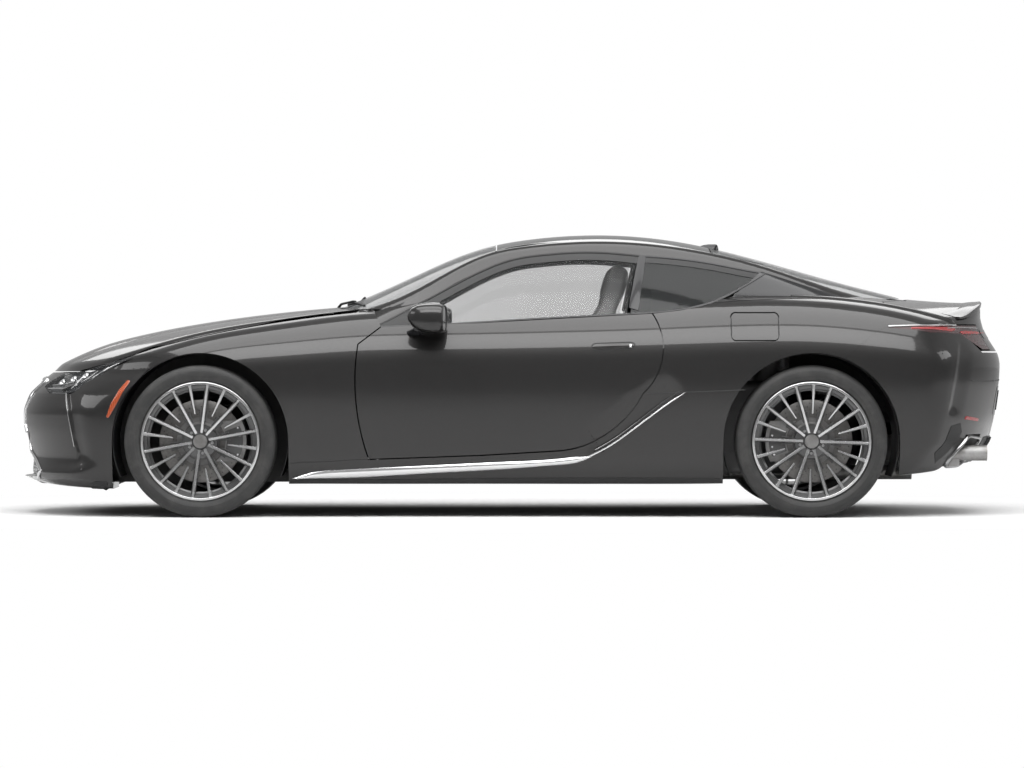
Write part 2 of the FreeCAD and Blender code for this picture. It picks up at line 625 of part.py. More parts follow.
def build_inner_frame(room):
    """Floor, engine bay and scuttle."""
    half = float(size("frame_half_width"))
    wall = float(size("frame_wall"))
    keep("floor", one_solid(SHELL.common(drawn_block(-1040, 985, across(690) - SEAT, 60, 230))))

    tray_top = float(size("ground_clearance")) + FLOOR
    tray = block(at(-1950, 0, 0).x + GAP, at(-1040, 0, 0).x - SEAT, -half, half, tray_top - FLOOR, tray_top)
    walls = side_region(BAY_WALL, both=True).common(drawn_block(-2150, -700, half, 100, 1100))
    walls = walls.cut(drawn_block(-2150 + wall, -700 - wall, half - wall, 60, 1200))
    walls = walls.cut(drawn_block(-2200, -2100, half - wall - 30, 470, 1000))
    walls = walls.cut(drawn_block(-2200, -2100, half - wall - 30, 60, 380))
    walls = walls.cut(block(at(-1040, 0, 0).x - SEAT, 0, -half, half, 60, tray_top + SEAT))
    nose_bar = drawn_block(-2400, -2140, half, 380, 470)
    bulkhead = drawn_block(-720, -700, across(690), 200, 860)
    stops = [lid_stop(-2050, y, float(up(400))) for y in (wall / 2 - half, half - wall / 2)]
    frame = room.common(walls.fuse([nose_bar, bulkhead, *stops]))
    keep("front_frame", one_solid(frame.fuse(tray)))

    scuttle = MID_SKIN.cut(mid_volume(WALL, WALL, 0)).common(plan_region(SCUTTLE_PLAN))
    keep("scuttle", one_solid(scuttle.cut(plan_region(BONNET_PLAN, grow=GAP))))


# ---------------------------------------------------------------- bound primitives


def bind(thing, **sizes):
    """Ties properties of a document object to the sheet."""
    for name, value in sizes.items():
        if isinstance(value, Size):
            thing.setExpression(name, value.text)
        else:
            setattr(thing, name, value)
    return thing


def put(thing, x, y, z, axis=(0, 0, 1), angle=0.0):
    """Places a document object at bound coordinates, turned about an axis."""
    thing.Placement = FreeCAD.Placement(V(0, 0, 0), FreeCAD.Rotation(V(*axis), angle))
    for name, value in (("x", x), ("y", y), ("z", z)):
        text = value.text if isinstance(value, Size) else f"{float(value):.6f}"
        thing.setExpression(f"Placement.Base.{name}", text)
    return thing


def box(x, y, z, length, width, height, axis=(0, 0, 1), angle=0.0):
    """Box from its low corner."""
    thing = bind(DOC.addObject("Part::Box", "Block"), Length=length, Width=width, Height=height)
    return put(thing, x, y, z, axis, angle)


def rod(x, y, z, radius, length, axis=(0, 0, 1), angle=0.0):
    """Cylinder from the middle of one end, upright unless turned about an axis."""
    thing = bind(DOC.addObject("Part::Cylinder", "Rod"), Radius=radius, Height=length)
    return put(thing, x, y, z, axis, angle)


def cross_rod(x, y, z, radius, length):
    """Cylinder along Y, from the end with the lowest Y."""
    return rod(x, y, z, radius, length, (1, 0, 0), -90)


def long_rod(x, y, z, radius, length):
    """Cylinder along X, from the end with the lowest X."""
    return rod(x, y, z, radius, length, (0, 1, 0), 90)


def join(pieces, name="Union"):
    whole = DOC.addObject("Part::MultiFuse", name)
    whole.Shapes = pieces
    return whole


def cut_from(base, tool, name="Cut"):
    result = DOC.addObject("Part::Cut", name)
    result.Base, result.Tool = base, tool
    return result


def group(name, thing):
    """Makes a document object the sub-part of that name."""
    thing.Label = name
    NODES[name] = thing
    return thing


# ---------------------------------------------------------------- wheels and what carries them

AXLES = (
    # axle, x, half track, tyre width
    ("front", FRONT_AXLE_X, size("front_track") / 2, size("front_tyre_width")),
    ("rear", REAR_AXLE_X, size("rear_track") / 2, size("rear_tyre_width")),
)
SIDES = (("left", -1), ("right", 1))
SPOKES = 10
BEAD_SHARE = 0.8  # half width of the tyre at its beads, as a share of its half width


def turned(profile, x, y, z, side):
    """Solid turned about a cross axis from a profile of outward distance and radius."""
    spots = [V(x, y + side * out, z + radius) for out, radius in profile]
    face = Part.Face(Part.makePolygon([*spots, spots[0]]))
    return face.revolve(V(x, y, z), V(0, 1, 0), 360)


def build_tyre(name, x, y, width, side):
    """Tyre with a crowned tread, bulging sidewalls and beads, in a dozen flats and cones."""
    outer, bead = float(size("tyre_radius")), float(size("bead_radius")) + SEAT
    half = float(width) / 2
    height = outer - bead
    section = ((0.0, 1.0), (0.62, 0.99), (0.80, 0.955), (0.93, 0.86), (1.0, 0.55), (0.98, 0.3),
               (BEAD_SHARE, 0.18), (BEAD_SHARE, 0.0))
    right = [(half * across_part, bead + height * up_part) for across_part, up_part in section]
    profile = [*right, *((-out, radius) for out, radius in reversed(right[1:]))]
    keep(name, turned(profile, float(x), float(y), float(AXLE_Z), side))


def build_rim(name, x, y, width, side):
    """Rim with its barrel, spokes, hub and brake disc."""
    half = float(width) / 2
    bead, flange = float(size("bead_radius")), float(size("rim_flange"))
    inside = bead - float(size("rim_wall"))
    edge = half - float(size("spoke_setback"))
    seat = half * BEAD_SHARE + SEAT
    barrel = ((edge, inside), (edge, bead + flange), (seat, bead + flange), (seat, bead), (-seat, bead),
              (-seat, bead + flange), (-edge, bead + flange), (-edge, inside))
    place = (float(x), float(y), float(AXLE_Z), side)
    hoop = turned(barrel, *place)
    back = edge - float(size("spoke_depth"))
    disc_out = half - float(size("disc_inset"))
    disc_in = disc_out - float(size("disc_thickness"))
    bore = float(size("spindle_radius")) + float(size("running_clearance"))
    hub_radius, disc_radius = float(size("hub_radius")), float(size("disc_radius"))
    hub = ((edge, bore), (edge, hub_radius), (back, hub_radius), (disc_out, hub_radius), (disc_out, disc_radius),
           (disc_in, disc_radius), (disc_in, bore))
    core = turned(hub, *place)
    spoke_half = float(size("spoke_width")) / 2
    low, high = sorted((float(y) + side * back, float(y) + side * edge))
    spokes = []
    for number in range(SPOKES):
        angle = 360.0 * number / SPOKES
        spoke = block(-spoke_half, spoke_half, low, high, hub_radius - 5, inside + 3)
        spoke.rotate(V(0, 0, 0), V(0, 1, 0), angle)
        spoke.translate(V(place[0], 0, place[2]))
        spokes.append(spoke)
    keep(name, one_solid(core.fuse([hoop, *spokes])))


def build_knuckle(name, x, y, width, side, steered):
    """Stub axle with its carrier and brake caliper; a front one stands on its steering post."""
    half = width / 2
    disc_out = half - size("disc_inset")
    disc_in = disc_out - size("disc_thickness")
    post_y = y - size("kingpin_inset") * side
    edge = half - size("spoke_setback")
    carrier_in = disc_in - size("caliper_clearance") - 60
    carrier_length = disc_in - size("caliper_clearance") - carrier_in

    def outward(start, length):
        """Lowest Y of a stretch that starts at an outward distance from the tyre's middle."""
        return y + start if side > 0 else y - start - length

    spindle_length = edge - carrier_in - 5
    spindle_y = outward(carrier_in, spindle_length)
    pieces = [cross_rod(x, spindle_y, AXLE_Z, size("spindle_radius"), spindle_length)]
    carrier_radius = size("hub_radius") * 0.8
    pieces.append(cross_rod(x, outward(carrier_in, carrier_length), AXLE_Z, carrier_radius, carrier_length))
    post_height = size("knuckle_height")
    post_low = AXLE_Z - post_height / 2
    pieces.append(rod(x, post_y, post_low, size("kingpin_radius"), post_height))
    wall = size("caliper_wall")
    clear = size("caliper_clearance")
    caliper_in = disc_in - clear - wall
    caliper_width = disc_out + clear + wall - caliper_in
    towards = 1 if steered else -1
    outer_radius = size("disc_radius") + clear + wall
    ring = cut_from(
        cross_rod(x, outward(caliper_in, caliper_width), AXLE_Z, outer_radius, caliper_width),
        cross_rod(x, outward(caliper_in, caliper_width), AXLE_Z, size("caliper_inner_radius"), caliper_width))
    groove_in = disc_in - clear
    groove_width = disc_out + clear - groove_in
    ring = cut_from(ring, cross_rod(x, outward(groove_in, groove_width), AXLE_Z, size("disc_radius") + clear,
                                    groove_width))
    span = size("caliper_length")
    low_x = x if towards > 0 else x - outer_radius
    sector = DOC.addObject("Part::Common", "Caliper")
    sector.Base = ring
    caliper_y = outward(caliper_in, caliper_width)
    sector.Tool = box(low_x, caliper_y, AXLE_Z - span / 2, outer_radius, caliper_width, span)
    pieces.append(sector)
    arm_x = x if towards > 0 else x - size("caliper_inner_radius") - 20
    arm_width = wall
    pieces.append(box(arm_x, outward(caliper_in, arm_width), AXLE_Z - 30, size("caliper_inner_radius") + 20,
                      arm_width, 60))
    group(name, join(pieces, "Knuckle"))


def build_wheels():
    for axle, x, half_track, width in AXLES:
        for label, side in SIDES:
            y = half_track * side
            build_tyre(f"tyre_{axle}_{label}", x, y, width, side)
            build_rim(f"wheel_{axle}_{label}", x, y, width, side)
            build_knuckle(f"knuckle_{axle}_{label}", x, y, width, side, axle == "front")


def build_suspension():
    """Two arms a side at each axle, from a mounting plate on the bay's wall to the steering post."""
    inner = size("frame_half_width") + size("seat_gap")
    plate = size("mounting_plate")
    height = size("knuckle_height")
    thickness = size("arm_thickness")
    low_arm = AXLE_Z - height / 2 - thickness - size("seat_gap")
    high_arm = AXLE_Z + height / 2 + size("seat_gap")
    arm_width = size("arm_width")
    plate_length = arm_width * 2
    for axle, x, half_track, width in AXLES:
        reach = half_track - size("kingpin_inset") + arm_width / 2 - inner
        pieces = []
        for label, side in SIDES:
            arm_y = inner if side > 0 else -inner - reach
            plate_y = inner if side > 0 else -inner - plate
            for arm_z in (low_arm, high_arm):
                pieces.append(box(x - arm_width / 2, arm_y, arm_z, arm_width, reach, thickness))
            plate_height = high_arm - low_arm + thickness
            pieces.append(box(x - plate_length / 2, plate_y, low_arm, plate_length, plate, plate_height))
        if axle == "rear":
            pieces.append(box(x - arm_width / 2, -inner, low_arm, arm_width, inner * 2, size("cross_member")))
        group(f"{axle}_suspension", join(pieces, "Suspension"))


# ---------------------------------------------------------------- engine, exhaust and cabin fittings


def build_drive():
    """Engine block and the exhaust with its two tips."""
    width, height = size("engine_width"), size("engine_height")
    engine_x = FRONT_AXLE_X - size("engine_length") * 0.45
    engine_z = size("ground_clearance") + size("floor_wall") + size("seat_gap")
    group("engine", box(engine_x, -width / 2, engine_z, size("engine_length"), width, height))
    radius = size("exhaust_radius")
    pipe_z = size("ground_clearance") + radius + 2
    floor_end = along(985) + size("seat_gap")
    tail, silencer_x, silencer_end = along(2262), along(1880), along(2130)
    silencer_z = size("ground_clearance") + radius * 2.4
    pieces = []
    for label, side in SIDES:
        pipe_y = size("exhaust_spread") * side
        pieces.append(long_rod(floor_end, pipe_y, pipe_z, radius, silencer_x - floor_end + radius * 2))
        pieces.append(rod(silencer_x + radius * 1.5, pipe_y, pipe_z, radius, radius * 2))
    spread = size("exhaust_tip_spread")
    silencer_width = spread * 2 + radius * 4
    pieces.append(box(silencer_x, -silencer_width / 2, silencer_z, silencer_end - silencer_x, silencer_width,
                      radius * 4))
    tip_z = silencer_z + radius * 2
    for label, side in SIDES:
        for step in (-1, 1):
            tip_y = spread * side + radius * 1.3 * step
            tip = long_rod(silencer_end - radius, tip_y, tip_z, radius * 1.15, tail - silencer_end + radius)
            hole = long_rod(silencer_end + radius, tip_y, tip_z, radius * 1.15 - size("exhaust_wall"),
                            tail - silencer_end)
            pieces.append(cut_from(tip, hole))
    group("exhaust", join(pieces, "Exhaust"))


def rounded(shape, radius, chosen=lambda edge: True):
    """Shape with the chosen edges rounded."""
    return shape.makeFillet(radius, [edge for edge in shape.Edges if chosen(edge)])


def seat_parts(middle, width, base_x, base_z, back_lean):
    """Cushion and backrest with its head restraint, as one closed solid."""
    left = middle - width / 2
    cushion = rounded(block(base_x, base_x + 520, left, left + width, base_z, base_z + 160), 40)
    back = rounded(block(0, 150, left, left + width, 0, 620), 45)
    head = rounded(block(20, 130, middle - 130, middle + 130, 600, 815), 40)
    back = back.fuse(head)
    back.rotate(V(0, 0, 0), V(0, 1, 0), back_lean)
    back.translate(V(base_x + 430, 0, base_z + 90))
    return one_solid(cushion.fuse(back))


def build_seats():
    offset, width = float(size("seat_offset")), float(size("seat_width"))
    floor_top = float(size("ground_clearance")) + FLOOR + SEAT
    for label, side in SIDES:
        seat = seat_parts(side * offset, width, at(-210, 0, 0).x, floor_top + 140, 17)
        rail = block(at(-150, 0, 0).x, at(230, 0, 0).x, side * offset - 160, side * offset + 160, floor_top,
                     floor_top + 150)
        keep(f"seat_{label}", one_solid(seat.fuse(rail)))
    x = at(870, 0, 0).x
    bench = rounded(block(x, x + 330, -560, 560, floor_top + 110, floor_top + 290), 30)
    riser = block(x + 20, at(975, 0, 0).x, -520, 520, floor_top - FLOOR / 2, floor_top + 150)
    riser = riser.common(mid_volume(DOOR_WALL, DOOR_TOP, FLOOR + SEAT))
    back = rounded(block(0, 110, -560, 560, 0, 500), 30)
    back.rotate(V(0, 0, 0), V(0, 1, 0), 20)
    back.translate(V(x + 190, 0, floor_top + 200))
    keep("rear_seat", one_solid(bench.fuse([back, riser])))


# Lean of the steering wheel's axis, and half the length of its hub.
WHEEL_TILT = math.radians(22)
HUB_HALF = 25.0


def build_dashboard():
    """Dashboard across the cabin, the centre console and the steering column."""
    room = mid_volume(DOOR_WALL + float(size("trim_clearance")), 75.0, FLOOR + SEAT)
    dash = room.common(drawn_block(-640, -430, across(900), 600, 930)).cut(upper_room())
    floor_top = float(size("ground_clearance")) + FLOOR + SEAT
    console = block(at(-500, 0, 0).x, at(560, 0, 0).x, -105, 105, floor_top, float(up(620)))
    axis = V(math.cos(WHEEL_TILT), 0, math.sin(WHEEL_TILT))
    centre = wheel_centre()
    length = 260.0
    column = Part.makeCylinder(34, length, centre - axis * (length + HUB_HALF + SEAT), axis)
    keep("dashboard", one_solid(dash.fuse([console, column])))


def wheel_centre():
    return V(at(-285, 0, 0).x, -float(size("seat_offset")), float(up(864)))


def upper_room():
    """Space that the windscreen and the doors' windows need above the dashboard."""
    outside = block(-3000, 3000, -2000, 2000, 600, 1500).cut(upper_volume(40))
    return outside.common(block(-3000, 3000, -2000, 2000, float(up(880)), 1500))


def build_steering_wheel():
    radius, grip = float(size("steering_wheel_radius")), float(size("steering_wheel_grip"))
    rim = Part.makeTorus(radius, grip)
    hub = Part.makeCylinder(62, HUB_HALF * 2, V(0, 0, -HUB_HALF))
    spokes = [block(-radius, radius, -18, 18, -8, 8), block(-18, 18, -radius, 0, -8, 8)]
    wheel = hub.fuse([rim, *spokes])
    wheel.rotate(V(0, 0, 0), V(0, 0, 1), 90)
    wheel.rotate(V(0, 0, 0), V(0, 1, 0), 90 - math.degrees(WHEEL_TILT))
    wheel.translate(wheel_centre())
    keep("steering_wheel", one_solid(wheel))


def build_boot(room):
    """Boot tub, the bulkhead in front of it and the shelf under the rear window."""
    half, wall = float(size("frame_half_width")), float(size("frame_wall"))
    floor_z = float(size("boot_floor"))
    start, top = at(1330, 0, 0).x, float(up(930))
    tub = block(start, 3000, -half, half, floor_z, top)
    inner = block(start + wall, at(2200, 0, 0).x, -half + wall, half - wall, floor_z + wall, 2000)
    sill = block(at(1900, 0, 0).x, 3000, -half + wall, half - wall, float(up(740)), 2000)
    stops = [lid_stop(2170, y, floor_z + wall / 2) for y in (wall - half, half - wall)]
    tub = room.common(tub.cut(inner).cut(sill).fuse(stops))
    for label, _ in SIDES:
        tub = tub.cut(NODES[f"body_side_{label}"].Shape)
    cabin_end = mid_volume(DOOR_WALL + SEAT, DOOR_TOP, FLOOR + SEAT)
    shelf = block(start, at(1880, 0, 0).x, -half, half, float(up(955)), float(up(975)))
    bulkhead = block(start, start + wall, -1000, 1000, floor_z, float(up(975))).fuse(shelf)
    bulkhead = cabin_end.common(bulkhead).cut(upper_volume(float(size("glass_wall")) + SEAT).common(shelf))
    bulkhead = bulkhead.cut(REAR_ARCH).cut(mirrored(REAR_ARCH))
    keep("boot_tub", one_solid(tub.fuse([bulkhead])))


def build_mirrors():
    """Door mirrors: a housing on an arm from the top of the door."""
    x, y, z = at(-395, 960, 945)
    housing = rounded(block(x - 75, x + 75, -y - 105, -y + 105, z - 62, z + 60), 38)
    base = at(-470, 830, 912)
    arm = Part.makeCylinder(16, 150, V(base.x, -base.y, base.z - 30), V(0.25, -1, 0.25))
    mirror = one_solid(housing.fuse(arm).cut(outer_room()))
    keep_pair("mirror", mirror)


def outer_room():
    """The whole outside of the body and cabin, less the seating gap."""
    return mid_volume(-SEAT, -SEAT, 0).fuse(upper_volume(-SEAT))


def build_all():
    build_lower_panels()
    lid_room, lamp_room = build_rear_panels()
    build_sides(lid_room, lamp_room)
    build_cabin()
    room = under_panels()
    build_inner_frame(room)
    build_boot(room)
    build_mirrors()
    build_seats()
    build_dashboard()
    build_steering_wheel()
    build_wheels()
    build_suspension()
    build_drive()


def write_parts():
    """Checks every object and sub-part, then writes one file each."""
    DOC.recompute()
    failed = [thing.Label for thing in DOC.Objects if {"Invalid", "Error"} & set(thing.State)]
    bad = [name for name, thing in NODES.items() if thing.Shape.isNull() or not thing.Shape.isValid()]
    if failed or bad:
        raise RuntimeError(f"failed objects {failed}, bad shapes {bad}")
    os.makedirs("parts", exist_ok=True)
    for name, thing in NODES.items():
        thing.Shape.exportStep(f"parts/{name}.step")


build_all()
write_parts()
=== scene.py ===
"""Looks of the coupe: panels, glass, wheels, lamps, cabin, light and camera."""
import json
import math

import bmesh
import bpy
import numpy as np
from mathutils import Matrix, Vector

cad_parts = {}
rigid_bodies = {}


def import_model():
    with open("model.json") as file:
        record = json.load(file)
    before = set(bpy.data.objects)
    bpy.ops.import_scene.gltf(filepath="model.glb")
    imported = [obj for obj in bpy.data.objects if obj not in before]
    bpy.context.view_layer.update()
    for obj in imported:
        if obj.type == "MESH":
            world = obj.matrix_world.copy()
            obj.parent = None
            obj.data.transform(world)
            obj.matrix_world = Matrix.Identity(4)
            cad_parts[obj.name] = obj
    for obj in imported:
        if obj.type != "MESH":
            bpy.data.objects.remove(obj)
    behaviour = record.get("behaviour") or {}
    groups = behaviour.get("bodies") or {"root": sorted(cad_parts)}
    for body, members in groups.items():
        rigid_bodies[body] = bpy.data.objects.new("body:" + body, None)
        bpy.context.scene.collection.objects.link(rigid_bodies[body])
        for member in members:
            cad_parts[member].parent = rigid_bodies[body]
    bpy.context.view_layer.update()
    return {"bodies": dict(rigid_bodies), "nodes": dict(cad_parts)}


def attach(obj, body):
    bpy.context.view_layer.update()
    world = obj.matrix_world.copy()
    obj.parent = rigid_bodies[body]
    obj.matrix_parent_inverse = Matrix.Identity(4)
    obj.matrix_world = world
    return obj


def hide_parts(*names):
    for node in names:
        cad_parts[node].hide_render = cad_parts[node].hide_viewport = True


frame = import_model()
NODES = frame["nodes"]
SIDES = (("left", -1), ("right", 1))


# ---------------------------------------------------------------- finishes

def feed(tree, value, target):
    """Links a value to a node's socket, or writes it there."""
    if isinstance(value, (Value, bpy.types.NodeSocket)):
        tree.links.new(getattr(value, "socket", value), target)
    elif isinstance(value, (tuple, list)):
        target.default_value = (*value, 1.0)[:len(target.default_value)]
    else:
        target.default_value = value


def add_node(tree, kind, settings=None, **sockets):
    """New node; its settings come first, then its sockets by name, or by number as n0, n1."""
    made = tree.nodes.new(kind)
    for key, value in (settings or {}).items():
        setattr(made, key, value)
    for key, value in sockets.items():
        numbered = key[0] == "n" and key[1:].isdigit()
        feed(tree, value, made.inputs[int(key[1:]) if numbered else key.replace("_", " ")])
    return made


class Value:
    """A number that varies over a surface or from copy to copy. Arithmetic on it adds Math nodes."""

    def __init__(self, tree, socket):
        self.tree, self.socket = tree, socket

    def join(self, operation, *terms):
        node = add_node(self.tree, "ShaderNodeMath", {"operation": operation})
        for socket, term in zip(node.inputs, terms):
            feed(self.tree, term, socket)
        return Value(self.tree, node.outputs[0])

    def __add__(self, other):
        return self.join("ADD", self, other)

    def __sub__(self, other):
        return self.join("SUBTRACT", self, other)

    def __rsub__(self, other):
        return self.join("SUBTRACT", other, self)

    def __mul__(self, other):
        return self.join("MULTIPLY", self, other)

    def __truediv__(self, other):
        return self.join("DIVIDE", self, other)

    def __pow__(self, other):
        return self.join("POWER", self, other)

    __radd__, __rmul__ = __add__, __mul__

    def sin(self):
        return self.join("SINE", self)

    def floor(self):
        return self.join("FLOOR", self)

    def most(self, other):
        return self.join("MAXIMUM", self, other)

    def ease(self, low, high):
        """0 below low, 1 above high, smooth between."""
        node = add_node(self.tree, "ShaderNodeMapRange", {"interpolation_type": "SMOOTHSTEP"}, Value=self,
                        From_Min=low, From_Max=high)
        return Value(self.tree, node.outputs["Result"])


class Finish:
    """A material with its own Principled shader; sockets are set by name."""

    def __init__(self, name, **fixed):
        self.material = bpy.data.materials.new(name)
        self.material.use_nodes = True
        self.tree = self.material.node_tree
        self.shader = self.tree.nodes["Principled BSDF"]
        for socket, value in fixed.items():
            self.set(socket.replace("_", " "), value)

    def set(self, socket, value):
        feed(self.tree, value, self.shader.inputs[socket])

    def node(self, kind, settings=None, **sockets):
        return add_node(self.tree, "ShaderNode" + kind, settings, **sockets)

    def place(self):
        return self.node("TexCoord").outputs["Object"]

    def axes(self):
        split = self.node("SeparateXYZ", Vector=self.place())
        return [Value(self.tree, output) for output in split.outputs]

    def noise(self, scale, detail=2.0, roughness=0.5, stretch=None):
        where = self.place()
        if stretch:
            where = self.node("Mapping", Vector=where, Scale=stretch).outputs[0]
        made = self.node("TexNoise", Vector=where, Scale=scale, Detail=detail, Roughness=roughness)
        return Value(self.tree, made.outputs[0])

    def cells(self, scale):
        made = self.node("TexVoronoi", Vector=self.place(), Scale=scale)
        return Value(self.tree, made.outputs["Distance"])

    def mix(self, mask, first, second):
        made = self.node("Mix", {"data_type": "RGBA"}, Factor=mask, n6=first, n7=second)
        return made.outputs[2]

    def bump(self, height, distance, strength=1.0):
        made = self.node("Bump", Height=height, Distance=distance, Strength=strength)
        self.set("Normal", made.outputs[0])


def paint_finish():
    """Dark warm grey metallic paint under clear lacquer."""
    f = Finish("graphite_paint", Metallic=0.9, Coat_Weight=0.9, Coat_Roughness=0.06, Coat_IOR=1.4)
    f.set("Specular Tint", (0.55, 0.54, 0.54))
    flake = f.noise(900, 1.0, 0.6)
    drift = f.noise(1.1, 2.0)
    blend = flake.ease(0.35, 0.72) * 0.5 + drift * 0.3
    f.set("Base Color", f.mix(blend, (0.017, 0.0166, 0.0166), (0.038, 0.0370, 0.0366)))
    f.set("Roughness", flake * 0.10 + 0.33)
    f.bump(f.noise(260, 1.0), 0.00004, 0.5)
    return f.material


def gloss_black_finish():
    f = Finish("gloss_black", Coat_Weight=0.5, Coat_Roughness=0.04, Coat_IOR=1.35, Specular_IOR_Level=0.25)
    f.set("Base Color", f.mix(f.noise(6, 3), (0.006, 0.006, 0.007), (0.012, 0.012, 0.013)))
    f.set("Roughness", f.noise(40, 2) * 0.12 + 0.12)
    return f.material


def grained_plastic_finish(name="black_plastic", shade=0.016):
    """Moulded black plastic with a leather-like grain."""
    f = Finish(name, Specular_IOR_Level=0.25)
    worn = f.noise(5, 4)
    f.set("Base Color", f.mix(worn, (shade * 0.7, shade * 0.7, shade * 0.72), (shade * 1.5,) * 3))
    f.set("Roughness", worn * 0.2 + 0.42)
    f.bump(f.cells(700), 0.0003, 0.35)
    return f.material


def bright_finish(name="bright_trim", shade=0.62, rough=0.16):
    """Satin bright metal with faint drawn lines."""
    f = Finish(name, Metallic=1.0)
    lines = f.noise(60, 2, 0.5, (0.6, 30, 30))
    f.set("Base Color", f.mix(lines, (shade * 0.9,) * 3, (shade * 1.08, shade * 1.08, shade * 1.09)))
    f.set("Roughness", lines * 0.12 + rough - 0.04)
    return f.material


def glass_finish(name, tint, alpha):
    """Tinted glass, slightly uneven in its haze."""
    f = Finish(name, Roughness=0.05, IOR=1.4, Specular_IOR_Level=0.35)
    haze = f.noise(3.0, 3)
    f.set("Base Color", f.mix(haze, tint, tuple(c * 1.4 for c in tint)))
    f.set("Alpha", haze * 0.06 + alpha)
    f.material.surface_render_method = "BLENDED"
    return f.material


def rubber_finish():
    """Tyre rubber, greyer on the worn tread and with fine rings on the sidewall."""
    f = Finish("tyre_rubber")
    dust = f.noise(14, 5, 0.6)
    f.set("Base Color", f.mix(dust.ease(0.4, 0.75), (0.012, 0.012, 0.012), (0.030, 0.029, 0.028)))
    f.set("Roughness", dust * 0.22 + 0.50)
    f.bump(f.noise(420, 2), 0.0003, 0.4)
    return f.material


def alloy_finish(name, shade, rough, metallic=1.0):
    """Cast and machined wheel metal."""
    f = Finish(name, Metallic=metallic, Coat_Weight=0.5, Coat_Roughness=0.06)
    cut = f.noise(240, 2, 0.6)
    f.set("Base Color", f.mix(cut, (shade * 0.86,) * 3, (shade * 1.06, shade * 1.06, shade * 1.07)))
    f.set("Roughness", cut * 0.14 + rough)
    f.bump(cut, 0.0001, 0.25)
    return f.material


def disc_finish():
    """Ground cast iron, with rings from the brake pads."""
    f = Finish("brake_iron", Metallic=0.9)
    rings = f.noise(90, 3, 0.6)
    f.set("Base Color", f.mix(rings, (0.065, 0.063, 0.062), (0.16, 0.155, 0.15)))
    f.set("Roughness", rings * 0.2 + 0.28)
    f.bump(rings, 0.0002, 0.4)
    return f.material


def lens_finish(name, tint, alpha):
    f = Finish(name, Roughness=0.05, Coat_Weight=1.0, Coat_Roughness=0.02, Alpha=alpha, IOR=1.5)
    ripple = f.noise(30, 2)
    f.set("Base Color", f.mix(ripple, tint, tuple(min(1, c * 1.3) for c in tint)))
    f.material.surface_render_method = "BLENDED"
    return f.material


def ribbed_lens_finish(name, tint, glow):
    """Coloured lamp lens with upright ribs."""
    f = Finish(name, Coat_Weight=0.4, Coat_Roughness=0.03, Coat_IOR=1.35, Roughness=0.25)
    x, y, _ = f.axes()
    ribs = ((x + y) * 900).sin() * 0.5 + 0.5
    f.set("Base Color", f.mix(ribs, tint, tuple(min(1, c * 1.7 + 0.01) for c in tint)))
    f.set("Emission Color", (*tint, 1.0))
    f.set("Emission Strength", glow)
    f.bump(ribs, 0.0006, 0.6)
    return f.material


def leather_finish(name, shade):
    """Grained leather with soft creases, partly uneven in tone and partly darker in its hollows as painted shade."""
    f = Finish(name)
    creases = f.noise(9, 5, 0.62)
    grain = f.cells(420)
    light = (shade * 1.15, shade * 1.15, shade * 1.14)
    # painted shade: the colour follows the bump's height, darker in the hollows and lighter on the raised grain
    f.set("Base Color", f.mix(creases * 0.7 + grain * 0.3, (shade * 0.72,) * 3, light))
    f.set("Roughness", creases * 0.18 + 0.42)
    f.bump(grain * 0.6 + creases * 0.8, 0.0008, 0.45)
    return f.material


def carpet_finish():
    f = Finish("loop_carpet", Sheen_Weight=0.3)
    loops = f.cells(900)
    f.set("Base Color", f.mix(loops, (0.030, 0.030, 0.031), (0.012, 0.012, 0.013)))
    f.set("Roughness", f.noise(60, 2) * 0.1 + 0.85)
    f.bump(loops, 0.002, 0.8)
    return f.material


def cast_finish(name, shade, metallic=0.7):
    """Rough cast or coated metal under the car."""
    f = Finish(name, Metallic=metallic)
    grime = f.noise(7, 6, 0.65)
    f.set("Base Color", f.mix(grime.ease(0.3, 0.7), (shade * 0.5, shade * 0.48, shade * 0.46), (shade,) * 3))
    f.set("Roughness", grime * 0.3 + 0.40)
    f.bump(f.noise(160, 3), 0.0008, 0.5)
    return f.material


def screen_light_finish():
    f = Finish("display_light", Roughness=0.3)
    glow = f.noise(40, 1)
    f.set("Base Color", f.mix(glow, (0.55, 0.62, 0.70), (0.70, 0.74, 0.78)))
    f.set("Emission Color", f.mix(glow, (0.45, 0.55, 0.70), (0.60, 0.68, 0.80)))
    f.set("Emission Strength", 0.35)
    return f.material


PAINT = paint_finish()
GLOSS_BLACK = gloss_black_finish()
PLASTIC = grained_plastic_finish()
SATIN_BLACK = grained_plastic_finish("satin_black", 0.026)
BRIGHT = bright_finish()
DARK_CHROME = bright_finish("dark_chrome", 0.30, 0.14)
MIRROR_GLASS = bright_finish("mirror_silver", 0.80, 0.04)
SIDE_GLASS = glass_finish("side_glass", (0.050, 0.051, 0.051), 0.16)
SCREEN_GLASS = glass_finish("screen_glass", (0.020, 0.023, 0.024), 0.42)
PRIVACY_GLASS = glass_finish("privacy_glass", (0.014, 0.015, 0.015), 0.72)
ROOF_GLASS = glass_finish("roof_glass", (0.006, 0.007, 0.007), 0.96)
RUBBER = rubber_finish()
MACHINED = alloy_finish("machined_alloy", 0.46, 0.14)
POCKET = alloy_finish("pocket_grey", 0.075, 0.24, 0.8)
IRON = disc_finish()
CALIPER = alloy_finish("caliper_coat", 0.045, 0.3, 0.3)
CLEAR_LENS = lens_finish("clear_lens", (0.20, 0.21, 0.22), 0.10)
RED_LENS = ribbed_lens_finish("red_lens", (0.16, 0.004, 0.005), 0.02)
SMOKED_LENS = ribbed_lens_finish("smoked_lens", (0.020, 0.003, 0.004), 0.0)
AMBER_LENS = ribbed_lens_finish("amber_lens", (0.20, 0.030, 0.004), 0.0)
SEAT_LEATHER = leather_finish("seat_leather", 0.26)
